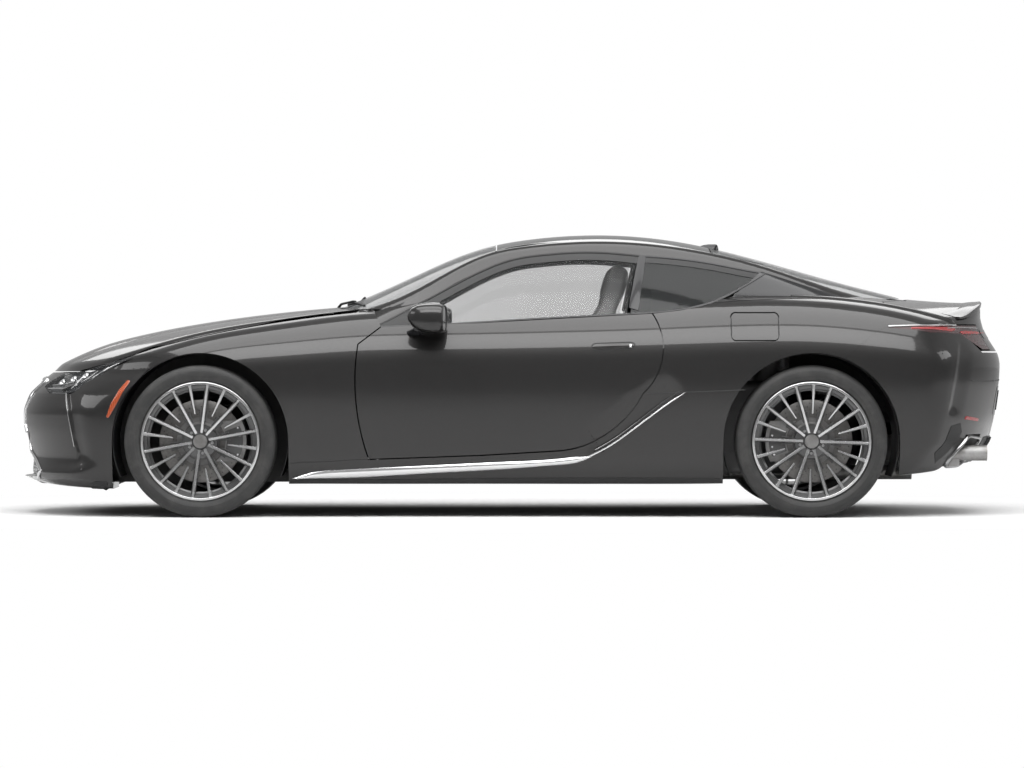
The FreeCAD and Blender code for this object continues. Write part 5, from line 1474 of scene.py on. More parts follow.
trim_pad("door_pocket", ((-360, 384), (-384, 470), (-330, 492), (170, 496), (240, 470), (170, 392)), 24, 0.034,
         SATIN_BLACK, body="door", crown=0.004, soft=0.9)
trim_pad("door_pocket_mouth", ((-350, 474), (-346, 486), (150, 488), (190, 478)), 5, 0.004, PLASTIC, body="door",
         lift=0.032)
SPEAKER = [(-482 + 74 * math.cos(t), 486 + 74 * math.sin(t)) for t in around(32)]
trim_pad("door_speaker", SPEAKER, 4, 0.014, SATIN_BLACK, body="door", crown=0.005)
both_sides(loop(SPEAKER, 0.007, 0.006, gap=drawn_in(plain_gap, 142)), "door_speaker_ring", DARK_CHROME,
           "black_plastic", body="door")
trim_pad("door_pull", ((-380, 716), (-384, 738), (-250, 742), (-244, 722)), 9, 0.016, BRIGHT, body="door", lift=0.014,
         soft=0.8)
trim_pad("door_switches", ((-440, 632), (-446, 652), (-300, 658), (-296, 638)), 6, 0.004, GLOSS_BLACK, body="door",
         lift=0.064)
trim_pad("quarter_card", ((640, 330), (650, 600), (670, 860), (760, 905), (1250, 905), (1270, 850), (1130, 780),
                          (1030, 650), (985, 500), (965, 330)), 30, 0.010, DARK_LEATHER, crown=0.004, soft=0.97)
for label, side in SIDES:
    near, far = sorted((side * 0.566, side * 0.770))
    arm = Form().block((0.90, near, 0.202), (1.31, far, 0.640), 0.035)
    arm.piece(f"rear_armrest_{label}", DARK_LEATHER, smooth=60)

# carpet over the floor, with mats at each place
Form().block((-0.690, -0.684, 0.1965), (0.980, 0.684, 0.2010), 0.001).piece("floor_carpet", CARPET)
mats = Form()
for low, high in (((-0.640, 0.150), (-0.250, 0.640)), ((0.600, 0.120), (0.860, 0.540))):
    for side in (-1, 1):
        corners = sorted((side * low[1], side * high[1]))
        mats.block((low[0], corners[0], 0.200), (high[0], corners[1], 0.208), 0.0035)
mats.piece("floor_mats", DARK_LEATHER)

# pedals on their arms
pedals = Form()
for y, width, height in ((-0.300, 0.022, 0.110), (-0.400, 0.040, 0.060)):
    pedals.block((-0.625, y - width, 0.300), (-0.612, y + width, 0.300 + height), 0.004)
    pedals.bar([(-0.622, y, 0.36), (-0.660, y, 0.46), (-0.705, y, 0.56)], [(1, 0, 0.3)] * 3, 0.014, 0.006)
pedals.piece("pedals", BRIGHT, "chassis_metal")


def sheet(gap, x, half, thick, count=21):
    """Thin crowned sheet under a surface: stations of length and half width in mm."""
    rings = []
    for at, width in zip(x, half):
        y = np.linspace(-width, width, count)
        z = height_at(gap, np.full(count, at), np.abs(y))
        top = np.column_stack([np.full(count, at / 1000), y / 1000, z])
        rings.append(np.concatenate([top, top[::-1] - (0, 0, thick)]))
    return Form().loft(rings)


headlining = sheet(drawn_in(upper_gap, 38), np.linspace(64, 852, 20), np.full(20, 500), 0.004)
headlining.piece("headlining", HEADLINING, "cabin_leather", smooth=60)
shelf = [[(x / 1000, y / 1000, z) for y, z in ((-half, 0.946), (-half, 0.958), (half, 0.958), (half, 0.946))]
         for x, half in ((1330, 690), (1500, 684), (1650, 648), (1800, 600), (1880, 560))]
Form().loft(shelf).piece("parcel_shelf", CARPET, smooth=30)
Form().block((1.760, -0.150, 0.957), (1.790, 0.150, 0.975), 0.004).piece("high_stop_lamp", RED_LENS)

# interior mirror hung from the windscreen, and the front belts
mirror = Form().block((-0.085, -0.120, 1.170), (-0.060, 0.120, 1.232), 0.010)
mirror.tube([(-0.085, 0, 1.205), (-0.120, 0, 1.222), (-0.165, 0, 1.236)], 0.008, 10)
mirror.piece("interior_mirror", PLASTIC)
for label, side in SIDES:
    y = side * 0.715
    path = [(0.640, y * 0.90, 1.030), (0.635, y * 0.955, 0.900), *((x, y, z) for x, z in (
        (0.632, 0.760), (0.630, 0.500), (0.630, 0.290)))]
    belt = Form().bar(path, [(0, -side, 0.1)] * 5, 0.046, 0.0012, arch=0.05)
    belt.piece(f"seat_belt_{label}", DARK_LEATHER, smooth=40)
    near, far = sorted((y * 0.915, y * 0.87))
    Form().block((0.612, near, 1.020), (0.668, far, 1.075), 0.008).piece(f"belt_guide_{label}", PLASTIC)

# wipers parked on the windscreen's lower edge
wipers = Form()
SCREEN_UP = (-0.5, 0, 0.85)
for start, end, pivot in (((-700, -560), (-792, -60), (-838, -110)), ((-716, 30), (-768, 470), (-846, 420))):
    x, y = np.linspace(start, end, 14).T
    blade = np.column_stack([x / 1000, y / 1000, height_at(upper_gap, x, np.abs(y)) + 0.006])
    wipers.bar(blade, [SCREEN_UP] * 14, 0.012, 0.006, arch=0.2)
    foot_z = height_at(upper_gap, [pivot[0] + 30], [abs(pivot[1])])[0] + 0.004
    foot = np.array([pivot[0] / 1000, pivot[1] / 1000, foot_z])
    arm = [foot + (0, 0, 0.012) + (blade[7] - foot) * t for t in (0.15, 0.5, 0.85)]
    wipers.bar([foot, *arm, blade[7] + (0, 0, 0.008)], [SCREEN_UP] * 5, 0.013, 0.005, taper=(1.3, 1.1, 0.9, 0.7, 0.6))
wipers.piece("wipers", PLASTIC)

# ---------------------------------------------------------------- seats

def guide_tree():
    """Repeats a piece at the points of a guide object, turned by each point's stored rotation."""
    guided = Repeater("repeat_on_guide", Guide="Object")
    guide = guided.node("GeometryNodeObjectInfo", Object=guided.given.outputs["Guide"])
    points = guided.node("GeometryNodeMeshToPoints", n0=guide.outputs["Geometry"])
    turn = guided.node("GeometryNodeInputNamedAttribute", {"data_type": "FLOAT_VECTOR"}, Name="turn")
    return guided.lay(points, turn.outputs["Attribute"])


PLACES = guide_tree()


def along_lines(form, lines, finish, gap):
    """Copies of a form, drawn along +X, laid at even gaps along each line of points."""
    spots, turns = [], []
    for line in lines:
        line = np.array(line, float)
        run = run_along(line)
        at = np.arange(gap / 2, run[-1], gap)
        place = np.column_stack([np.interp(at, run, line[:, k]) for k in range(3)])
        ahead = np.gradient(place, axis=0) if len(place) > 1 else line[-1:] - line[:1]
        spots.extend(place)
        turns.extend(Vector(way).to_track_quat("X", "Z").to_euler()[:] for way in ahead)
    mesh = bpy.data.meshes.new("guide")
    mesh.from_pydata([tuple(s) for s in spots], [], [])
    stored = mesh.attributes.new("turn", "FLOAT_VECTOR", "POINT")
    stored.data.foreach_set("vector", np.array(turns, float).ravel())
    guide = bpy.data.objects.new("guide", mesh)
    bpy.context.scene.collection.objects.link(guide)
    made = repeated(form, PLACES, finish, Guide=guide)
    bpy.data.objects.remove(guide)
    return made


STITCH_FORM = Form().tube([(-0.0030, 0, 0), (-0.0015, 0, 0.0004), (0.0015, 0, 0.0004), (0.0030, 0, 0)], 0.0007, 6)


def pad_form(stations, front, channels, seam, bolster, sag, sides=64):
    """Upholstered pad along +Z, worn face towards -X, and its seams; rows of height, half width, face and back x."""
    table = np.array(stations, float)
    heights = np.concatenate([[table[0, 0]], np.arange(table[0, 0] + 4, table[-1, 0] - 3, 6.0), [table[-1, 0]]])
    rings = []
    seams = {-1: [], 1: []}
    for z in heights:
        half, face, back = (np.interp(z, table[:, 0], table[:, k]) for k in (1, 2, 3))
        ring = []
        sewn = sum(math.exp(-((z - c) / 3.2) ** 2) for c in channels)
        swell = max((math.cos(math.pi * (z - (a + b) / 2) / (b - a)) for a, b in zip(channels, channels[1:])
                     if a <= z <= b), default=0)
        live = ease(np.array(z), front[0], front[0] + 60) * (1 - ease(np.array(z), front[1] - 60, front[1]))
        for turn in around(sides):
            c, s = math.cos(turn), math.sin(turn)
            y = half * np.sign(c) * abs(c) ** 0.45
            t = np.sign(s) * abs(s) ** 0.55
            x = (face + back) / 2 - t * (back - face) / 2
            if s > 0.02:
                share = abs(y) / half
                inner = 1 - float(ease(np.array(share), seam - 0.03, seam + 0.02))
                x += s ** 0.5 * live * inner * (sag + 5.0 * sewn - 6.5 * swell)
                x += s ** 0.5 * 5.0 * math.exp(-((share - seam) / 0.02) ** 2) * live
                x -= s ** 0.5 * live * bolster * math.sin(math.pi * min(1, max(0, (share - seam) / (1 - seam))))
            ring.append((x / 1000, y / 1000, z / 1000))
        rings.append(ring)
        if front[0] + 12 < z < front[1] - 12:
            for side in (-1, 1):
                seams[side].append((0, side * half * (seam + 0.035), z))
    return Form().loft(rings), seams


BACK_STATIONS = ((-30, 150, 40, 110), (-18, 205, 18, 140), (20, 226, 2, 150), (200, 232, 0, 148), (380, 232, 0, 138),
                 (480, 222, 2, 126), (540, 196, 12, 118), (580, 158, 24, 114), (612, 126, 32, 112),
                 (645, 116, 30, 116), (690, 124, 22, 124), (750, 126, 20, 124), (790, 112, 26, 116),
                 (806, 92, 36, 104), (814, 60, 50, 90))
CUSHION_STATIONS = ((-15, 170, 50, 120), (0, 214, 22, 150), (30, 230, 4, 158), (200, 234, 0, 160), (420, 232, 0, 160),
                    (500, 226, 6, 156), (522, 208, 22, 140), (532, 170, 46, 110))


def lay_on(form, lines):
    """Lines dropped onto the worn face of a pad."""
    points = np.array(form.points)
    laid = []
    for line in lines:
        made = []
        for _, y, z in line:
            near = np.hypot(points[:, 1] - y / 1000, points[:, 2] - z / 1000)
            close = points[near < 0.012]
            if len(close):
                made.append((close[:, 0].min() - 0.0004, y / 1000, z / 1000))
        laid.append(made)
    return [line for line in laid if len(line) > 3]


def thread_along(form, seams):
    """Stitches along both seams of a pad."""
    return along_lines(STITCH_FORM, lay_on(form, [seams[-1], seams[1]]), STITCH, 0.0095)


def upholster(name, label, pad_and_seams, place):
    """Padded leather piece in its place, with its stitches."""
    form, seams = pad_and_seams
    threads = thread_along(form, seams)
    pad = form.moved(place).piece(f"{name}_{label}", SEAT_LEATHER, smooth=70)
    threads.moved(place).piece(f"{name}_stitches_{label}", STITCH, smooth=0)
    return pad


def leaning(x, y, z, degrees):
    """Place of a seat's back, leaned rearwards."""
    return Matrix.Translation((x, y, z)) @ Matrix.Rotation(math.radians(degrees), 4, "Y")


def lying(x, y, z):
    """Place of a pad whose worn face looks up, its height running rearwards."""
    return Matrix.Translation((x, y, z)) @ Matrix(((0, 0, 1, 0), (0, 1, 0, 0), (-1, 0, 0, 0), (0, 0, 0, 1)))


def build_seat(label, side):
    middle = 0.370 * side
    back_place = leaning(0.220, middle, 0.429, 17)
    back = pad_form(BACK_STATIONS, (30, 500), (60, 122, 184, 246, 308, 370, 432, 486), 0.60, 12, 22)
    cushion = pad_form(CUSHION_STATIONS, (20, 500), (70, 132, 194, 256, 318, 380, 442), 0.62, 12, 18)
    pad = upholster("seat_back", label, back, back_place)
    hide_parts(f"seat_{label}")
    upholster("seat_cushion", label, cushion, lying(-0.207, middle, 0.500))
    shell = [[(x0, -half, z), (x1, -half * 0.92, z), (x1 + 0.004, 0, z), (x1, half * 0.92, z), (x0, half, z)]
             for z, half, x0, x1 in ((0.02, 0.205, 0.128, 0.152), (0.10, 0.215, 0.130, 0.156),
                                     (0.40, 0.212, 0.122, 0.148), (0.52, 0.18, 0.110, 0.134))]
    Form().loft(shell).moved(back_place).piece(f"seat_shell_{label}", PLASTIC)
    base = Form()
    base.block((-0.150, middle - 0.215, 0.262), (0.250, middle - 0.190, 0.350), 0.008)
    base.block((-0.150, middle + 0.190, 0.262), (0.250, middle + 0.215, 0.350), 0.008)
    base.block((-0.110, middle - 0.190, 0.300), (0.200, middle + 0.190, 0.345), 0.006)
    base.piece(f"seat_base_{label}", PLASTIC)
    rails = Form()
    for y in (-0.150, 0.150):
        rails.block((-0.150, middle + y - 0.014, 0.2005), (0.230, middle + y + 0.014, 0.226), 0.003)
        rails.block((-0.120, middle + y - 0.009, 0.224), (0.210, middle + y + 0.009, 0.304), 0.003)
    rails.piece(f"seat_rails_{label}", CAST)
    inner = middle - side * 0.222
    buckle = Form().bar([(0.16, inner, 0.40), (0.19, inner, 0.46), (0.205, inner, 0.520)], [(0, -side, 0)] * 3, 0.020,
                        0.004, arch=0.1)
    buckle.block((0.190, inner - 0.010, 0.512), (0.226, inner + 0.010, 0.556), 0.004)
    buckle.piece(f"belt_buckle_{label}", PLASTIC)


for label, side in SIDES:
    build_seat(label, side)

# two shaped rear places with a divider between them
REAR_BACK_STATIONS = ((-10, 190, 22, 92), (6, 232, 4, 108), (120, 240, 0, 110), (330, 238, 0, 108),
                      (440, 228, 2, 100), (486, 205, 14, 90), (500, 150, 30, 74))
REAR_CUSHION_STATIONS = ((-6, 180, 40, 120), (10, 230, 10, 172), (120, 240, 0, 178), (290, 240, 0, 178),
                         (322, 226, 12, 168), (332, 180, 40, 140))
for label, side in SIDES:
    middle = 0.306 * side
    back = pad_form(REAR_BACK_STATIONS, (10, 470), (50, 110, 170, 230, 290, 350, 410), 0.66, 6, 16)
    cushion = pad_form(REAR_CUSHION_STATIONS, (14, 310), (60, 120, 180, 240), 0.66, 6, 14)
    pad = upholster("rear_seat_back", label, back, leaning(1.060, middle, 0.401, 20))
    if side < 0:
        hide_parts("rear_seat")
    upholster("rear_seat_cushion", label, cushion, lying(0.870, middle, 0.489))
base = Form().block((0.890, -0.520, 0.201), (0.975, 0.520, 0.320), 0.008)
base.block((0.880, -0.058, 0.300), (1.150, 0.058, 0.478), 0.020)
base.piece("rear_seat_base", DARK_LEATHER)


# ---------------------------------------------------------------- dashboard, console and steering wheel

def dash_section(y):
    """Section of the dashboard at a distance across the car, as x, z in mm."""
    hood = float(ease(np.array(abs(y + 370)), 150, 215))
    lift = 22 * (1 - hood)
    reach = 14 * (1 - hood)
    wing = float(ease(np.array(abs(y)), 560, 740))
    return [(-636, 640), (-638, 850 - 30 * wing), (-628, 872 - 26 * wing), (-560, 892 + lift * 0.3 - 22 * wing),
            (-500, 900 + lift * 0.8 - 20 * wing), (-458 + reach, 900 + lift - 20 * wing),
            (-440 + reach, 892 + lift - 20 * wing), (-436 + reach * 0.6, 878 + lift * 0.6 - 18 * wing),
            (-452, 862 - 14 * wing), (-456, 800 - 8 * wing), (-444, 790 - 8 * wing), (-438, 772 - 8 * wing),
            (-450, 752), (-470, 742), (-480, 690), (-510, 640), (-560, 612), (-620, 610)]


def build_dashboard():
    rings = []
    for y in np.linspace(-722, 722, 121):
        rings.append([(x / 1000, y / 1000, z / 1000) for x, z in round_corners(dash_section(y), 12)])
    dash = Form().loft(rings).piece("dashboard_top", DARK_LEATHER, smooth=50)
    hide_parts("dashboard")
    seam = [(-0.4485, y, 0.7955) for y in np.linspace(-0.700, 0.700, 60)]
    along_lines(STITCH_FORM, [seam], STITCH, 0.0095).piece("dashboard_stitches", STITCH, smooth=0)
    Form().bar([(-0.4385, y, 0.776) for y in np.linspace(-0.715, 0.715, 60)], [(1, 0, 0.2)] * 60, 0.010, 0.003).piece(
        "dashboard_strip", BRIGHT)
    vents = Form()
    for y, wide in ((-0.660, 0.070), (-0.155, 0.060), (0.215, 0.060), (0.660, 0.070)):
        vents.block((-0.470, y - wide / 2 - 0.006, 0.804), (-0.4515, y + wide / 2 + 0.006, 0.856), 0.004)
    vents.piece("vent_housings", GLOSS_BLACK)
    slat = Form().block((-0.4545, 0, -0.0015), (-0.4475, 0.056, 0.0015), 0.0006)
    slats = Form()
    for y in (-0.688, -0.183, 0.187, 0.632):
        rows = repeated(slat, ROWS, SATIN_BLACK, Across=1, Up=5, Step_Across=0.05, Step_Up=0.0085)
        slats.join(rows.moved(Matrix.Translation((0, y, 0.813))))
    slats.piece("vent_slats", SATIN_BLACK)
    Form().block((-0.462, -0.100, 0.806), (-0.4490, 0.170, 0.868), 0.004).piece("centre_screen", GLOSS_BLACK)
    readout = Form()
    for y in np.linspace(-0.085, 0.155, 7):
        readout.block((-0.4492, y - 0.012, 0.826), (-0.4486, y + 0.012, 0.848), 0.0002)
    readout.piece("screen_symbols", SCREEN_LIGHT)
    Form().block((-0.470, -0.500, 0.812), (-0.4540, -0.240, 0.892), 0.006).piece("instrument_panel", GLOSS_BLACK)
    dials = Form()
    for y, size in ((-0.370, 0.037), (-0.452, 0.024), (-0.288, 0.024)):
        dials.turn([(-0.4545, size - 0.003), (-0.4525, size - 0.003), (-0.4525, size), (-0.4545, size)],
                   (0, y, 0.850), 60, axis="x")
        tick = Form().block((-0.4540, -0.0010, size * 0.72), (-0.4530, 0.0010, size * 0.90))
        for turn in np.linspace(-2.2, 2.2, 13):
            dials.join(tick.copy().moved(Matrix.Translation((0, y, 0.850)) @ Matrix.Rotation(turn, 4, "X")))
    dials.piece("dial_marks", SCREEN_LIGHT)


build_dashboard()


def build_console():
    rings = []
    for x, low, top, half in ((-0.500, 0.30, 0.700, 0.085), (-0.455, 0.204, 0.735, 0.100),
                              (-0.40, 0.204, 0.690, 0.103), (-0.33, 0.204, 0.640, 0.104),
                              (-0.22, 0.204, 0.622, 0.104), (0.10, 0.204, 0.610, 0.104), (0.16, 0.204, 0.612, 0.104),
                              (0.44, 0.204, 0.612, 0.104), (0.52, 0.204, 0.596, 0.102), (0.556, 0.204, 0.560, 0.096)):
        edge = 0.016
        rings.append([(x, -half, low), (x, -half, top - edge), (x, -half + edge * 0.3, top - edge * 0.3),
                      (x, -half + edge, top), (x, half - edge, top), (x, half - edge * 0.3, top - edge * 0.3),
                      (x, half, top - edge), (x, half, low)])
    Form().loft(rings).piece("console_body", DARK_LEATHER)
    Form().block((-0.260, -0.078, 0.612), (0.130, 0.078, 0.6255), 0.004).piece("console_panel", GLOSS_BLACK)
    rims = Form()
    for x in (0.035, 0.100):
        rims.turn([(0.6245, 0.0300), (0.6275, 0.0300), (0.6275, 0.0345), (0.6245, 0.0345)], (x, 0.036, 0), 48,
                  axis="z")
    for y in (-0.080, 0.080):
        rims.bar([(x, y, 0.626) for x in np.linspace(-0.255, 0.125, 12)], [(0, 0, 1)] * 12, 0.004, 0.002)
    rims.piece("console_trim", BRIGHT)
    lever = Form().turn([(0.622, 0.022), (0.632, 0.020), (0.640, 0.011), (0.668, 0.0105), (0.676, 0.018),
                         (0.700, 0.022), (0.716, 0.019), (0.722, 0.008)],
                        (-0.150, -0.028, 0), 36, closed=False, axis="z")
    lever.piece("gear_selector", DARK_LEATHER)
    key = Form().block((-0.010, 0, 0), (0.010, 0.0135, 0.004), 0.001)
    keys = repeated(key, ROWS, SATIN_BLACK, Across=3, Up=1, Step_Across=0.018, Step_Up=0.02)
    keys.moved(Matrix.Translation((-0.205, 0.012, 0.6245))).piece("console_keys", SATIN_BLACK)
    arm, seams = pad_form(((0, 70, 14, 34), (10, 88, 4, 38), (120, 92, 0, 38), (250, 90, 2, 38), (266, 70, 14, 34)),
                          (20, 240), (), 0.8, 0, 2, sides=40)
    place = lying(0.165, 0, 0.6445)
    threads = thread_along(arm, seams)
    arm.moved(place).piece("console_armrest", DARK_LEATHER, smooth=70)
    threads.moved(place).piece("armrest_stitches", STITCH, smooth=0)


build_console()


RIM_REACH = 0.176


def build_steering_wheel():
    """Wheel drawn flat with its axis along +Z and its top towards +X, then set at the column's angle."""
    tilt = math.radians(22)
    place = Matrix.Translation((-0.285, -0.370, 0.864)) @ Matrix.Rotation(math.pi / 2 - tilt, 4, "Y")
    place @= Matrix.Rotation(math.pi, 4, "Z")
    rings = []
    for turn in around(96):
        thick = 0.0150 + 0.0016 * max(0.0, math.cos(2 * (turn - math.pi / 2))) ** 4
        section = [(RIM_REACH + thick * math.cos(t), thick * 0.93 * math.sin(t))
                   for t in around(18)]
        rings.append([(reach * math.cos(turn), reach * math.sin(turn), z) for reach, z in section])
    rim = Form().loft(rings, ends=True).moved(place).piece("steering_rim", DARK_LEATHER, body="steering_wheel",
                                                           smooth=80)
    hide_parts("steering_wheel")
    inner = RIM_REACH - 0.0152
    line = [(inner * math.cos(t), inner * math.sin(t), 0.0) for t in np.linspace(0, 2 * math.pi, 180)]
    threads = along_lines(STITCH_FORM, [line], STITCH, 0.008)
    threads.moved(place).piece("steering_stitches", STITCH, body="steering_wheel", smooth=0)
    spokes = Form()
    for angle, width in ((90, 0.036), (-90, 0.036), (180, 0.044)):
        rings = []
        for share in np.linspace(0, 1, 9):
            r = 0.045 + 0.120 * share
            half = width / 2 * (1.25 - 0.42 * math.sin(math.pi * share * 0.8))
            z = -0.004 - 0.010 * (1 - share)
            rings.append([(r, half * a, z + b) for a, b in ((-1, 0), (-0.8, 0.007), (0.8, 0.007), (1, 0),
                                                            (0.7, -0.006), (-0.7, -0.006))])
        spokes.join(Form().loft(rings).moved(Matrix.Rotation(math.radians(angle), 4, "Z")))
    spokes.moved(place).piece("steering_spokes", DARK_CHROME, body="steering_wheel")
    outline = round_corners(((66, 20), (52, 62), (-30, 72), (-72, 40), (-72, -40), (-30, -72), (52, -62), (66, -20)),
                            20) / 1000
    hub = Form().loft([[(x * k, y * k, z) for x, y in outline]
                       for k, z in ((0.80, -0.030), (0.95, -0.016), (1.0, 0.000), (0.97, 0.010), (0.86, 0.018),
                                    (0.6, 0.0225), (0.2, 0.0245))])
    hub.moved(place).piece("steering_hub", DARK_LEATHER, body="steering_wheel", smooth=50)
    ring = Form().turn([(0.0225, 0.0150), (0.0262, 0.0155), (0.0262, 0.0175), (0.0225, 0.0180)], (0, 0, 0), 40,
                       axis="z")
    ring.moved(place).piece("steering_badge_ring", BRIGHT, body="steering_wheel")
    column = Form()
    column.turn([(-0.300, 0.030), (-0.290, 0.034), (-0.060, 0.040), (-0.036, 0.036), (-0.032, 0.010)], (0, 0, 0), 32,
                closed=False, axis="z")
    for way in (-1, 1):
        column.tube([(0.01, way * 0.036, -0.052), (0.012, way * 0.080, -0.050), (0.014, way * 0.120, -0.045),
                     (0.015, way * 0.142, -0.042)], 0.0075, 12,
                    taper=(1, 0.8, 0.9, 1.1))
    column.moved(place).piece("steering_column", PLASTIC)


build_steering_wheel()
# ---------------------------------------------------------------- wheel housings, brakes and running gear

ARCH_INSIDE = 0.4135
CALIPER_REACH = 0.2165


def build_brake(end, x, y, half):
    """Caliper over the disc, chamfered, with its bridge bolts."""
    outer = y + half - 0.0545
    inner = y + half - 0.076 - 0.032 - 0.022
    towards = 0 if end == "front" else 180
    rings = []
    for share in np.linspace(-1, 1, 17):
        angle = math.radians(towards + 27.5 * share)
        c, s = math.cos(angle), math.sin(angle)
        shrink = 0.006 * abs(share) ** 6
        section = ((0.122, inner + 0.004), (0.118, outer - 0.010), (0.124, outer - shrink),
                   (0.196 - shrink, outer - shrink), (CALIPER_REACH - 0.004, outer - 0.006),
                   (CALIPER_REACH + 0.0035, outer - 0.016), (CALIPER_REACH + 0.0035, inner + 0.006),
                   (CALIPER_REACH - 0.006, inner))
        rings.append([(x + r * c, -w, AXLE_Z + r * s) for r, w in section])
    caliper = Form().loft(rings)
    body = "knuckle_front" if end == "front" else "body"
    both_sides(caliper, f"caliper_{end}", CALIPER, body=body)
    bolts = Form()
    for share in (-0.72, -0.3, 0.3, 0.72):
        angle = math.radians(towards + 27.5 * share)
        centre = (x + 0.186 * math.cos(angle), -outer + 0.0005, AXLE_Z + 0.186 * math.sin(angle))
        bolts.turn(((-0.0012, 0.0), (-0.0012, 0.0045), (0.0010, 0.0060)), centre, 12, closed=False)
    both_sides(bolts, f"caliper_bolts_{end}", BRIGHT, "chassis_metal", body)


for end, (x, y, half) in AXLES.items():
    corners = ((ARCH_INSIDE, 0.480), (ARCH_INSIDE, 0.872), (ARCH_INSIDE - 0.003, 0.872), (ARCH_INSIDE - 0.003, 0.480))
    liner = Form().loft([[(x + r * math.cos(t), -w, AXLE_Z + r * math.sin(t)) for r, w in corners]
                         for t in np.radians(np.linspace(-24, 204, 48))])
    both_sides(liner, f"arch_liner_{end}", PLASTIC)
    build_brake(end, x, y, half)
    turns = np.linspace(0, 2 * math.pi * 6, 150)
    at_x, at_y = x + 0.072, -0.528
    spring = Form().tube([(at_x + 0.042 * math.cos(t), at_y + 0.042 * math.sin(t), 0.340 + 0.230 * t / turns[-1])
                          for t in turns], 0.0055, 8)
    both_sides(spring, f"spring_{end}", SATIN_BLACK, "chassis_metal")
    damper = Form().tube([(at_x, at_y, 0.236), (at_x, at_y, 0.420)], 0.024, 20)
    damper.tube([(at_x, at_y, 0.418), (at_x, at_y, 0.640)], 0.009, 14)
    damper.turn(((0.330, 0.0), (0.330, 0.050), (0.336, 0.052), (0.340, 0.026)), (at_x, at_y, 0), 32, closed=False,
                axis="z")
    damper.turn(((0.575, 0.0), (0.575, 0.050), (0.590, 0.052), (0.640, 0.020), (0.640, 0.0)), (at_x, at_y, 0), 32,
                closed=False, axis="z")
    damper.bar([(x, at_y, 0.262), (at_x, at_y, 0.262)], [(0, 0, 1)] * 2, 0.030, 0.010)
    both_sides(damper, f"damper_{end}", CAST)

REAR_X = AXLES["rear"][0]
drive = Form().tube([(REAR_X, -0.700, AXLE_Z), (REAR_X, -0.560, AXLE_Z - 0.004), (REAR_X, -0.150, AXLE_Z - 0.010)],
                    0.016, 16)
drive.turn(((-0.230, 0.018), (-0.215, 0.044), (-0.165, 0.048), (-0.150, 0.020)), (REAR_X, 0, AXLE_Z - 0.010), 28,
           closed=False)
both_sides(drive, "half_shafts", CAST)
differential = Form().block((REAR_X - 0.15, -0.120, AXLE_Z - 0.105), (REAR_X + 0.13, 0.120, AXLE_Z + 0.085), 0.045)
differential.piece("differential", CAST, smooth=60)

# ---------------------------------------------------------------- engine bay

BAY_HALF = 0.456
RIBS = 7


def soft_block(low, high, radius, rise=0.0):
    """Moulded cover: upright sides, a rounded upper edge and a crowned top."""
    low, high = np.array(low, float), np.array(high, float)
    middle, half = (low + high) / 2, (high - low) / 2
    levels = [(*half[:2], low[2])]
    for t in np.linspace(0, math.pi / 2, 7):
        inset = radius * (1 - math.cos(t))
        levels.append((half[0] - inset, half[1] - inset, high[2] - radius * (1 - math.sin(t))))
    levels += [(*(half[:2] - radius) * share, high[2] + rise * (1 - share ** 2)) for share in (0.75, 0.5, 0.25, 0.03)]
    angles = around(48)
    across, along = (np.sign(way) * np.abs(way) ** 0.28 for way in (np.cos(angles), np.sin(angles)))
    return Form().loft([[(middle[0] + a * x, middle[1] + b * y, z) for a, b in zip(across, along)]
                        for x, y, z in levels])


soft_block((-1.735, -0.285, 0.640), (-1.130, 0.285, 0.735), 0.030, 0.012).piece("engine_cover", SATIN_BLACK,
                                                                                smooth=50)
ribs = Form()
for n in range(RIBS):
    y = -0.180 + 0.360 * n / (RIBS - 1)
    ribs.bar([(x, y, 0.7385 + 0.008 * (1 - ((x + 1.43) / 0.26) ** 2)) for x in np.linspace(-1.66, -1.20, 12)],
             [(0, 0, 1)] * 12, 0.012, 0.007, arch=0.2)
ribs.piece("engine_cover_ribs", CAST)
cap = Form().turn(((0.735, 0.0), (0.735, 0.030), (0.768, 0.028), (0.772, 0.022), (0.772, 0.0)), (-1.240, 0.232, 0),
                  36, closed=False, axis="z")
cap.piece("oil_cap", PLASTIC)
soft_block((-2.020, -0.360, 0.470), (-1.790, 0.020, 0.660), 0.030, 0.008).piece("air_box", PLASTIC, smooth=50)
duct = Form().tube([(-1.830, -0.200, 0.620), (-1.770, -0.210, 0.680), (-1.700, -0.200, 0.715),
                    (-1.620, -0.170, 0.720)], 0.044, 24)
duct.piece("intake_duct", RUBBER, "black_plastic", smooth=60)
brackets = Form()
for low, high, soft in (((-1.060, 0.180, 0.470), (-0.770, BAY_HALF + 0.002, 0.486), 0.003),
                        ((-2.030, -0.370, 0.455), (-1.780, 0.030, 0.471), 0.003),
                        ((-2.030, -0.458, 0.455), (-1.980, -0.360, 0.471), 0.002),
                        ((-1.960, 0.270, 0.520), (-1.800, BAY_HALF + 0.002, 0.532), 0.003)):
    brackets.block(low, high, soft)
brackets.piece("bay_brackets", CAST)
soft_block((-1.045, 0.200, 0.484), (-0.785, 0.375, 0.690), 0.010).piece("battery", PLASTIC, smooth=50)
poles = Form()
for x in (-1.010, -0.820):
    poles.turn(((0.688, 0.0), (0.688, 0.012), (0.706, 0.010), (0.708, 0.0)), (x, 0.235, 0), 20, closed=False,
               axis="z")
poles.bar([(-1.010, 0.235, 0.708), (-1.060, 0.270, 0.700), (-1.100, 0.330, 0.600)], [(0, 0, 1)] * 3, 0.014, 0.006)
poles.piece("battery_poles", STEEL)
tank = soft_block((-1.950, 0.290, 0.530), (-1.810, 0.440, 0.680), 0.025, 0.004)
tank.piece("coolant_tank", HEADLINING, "black_plastic", smooth=50)
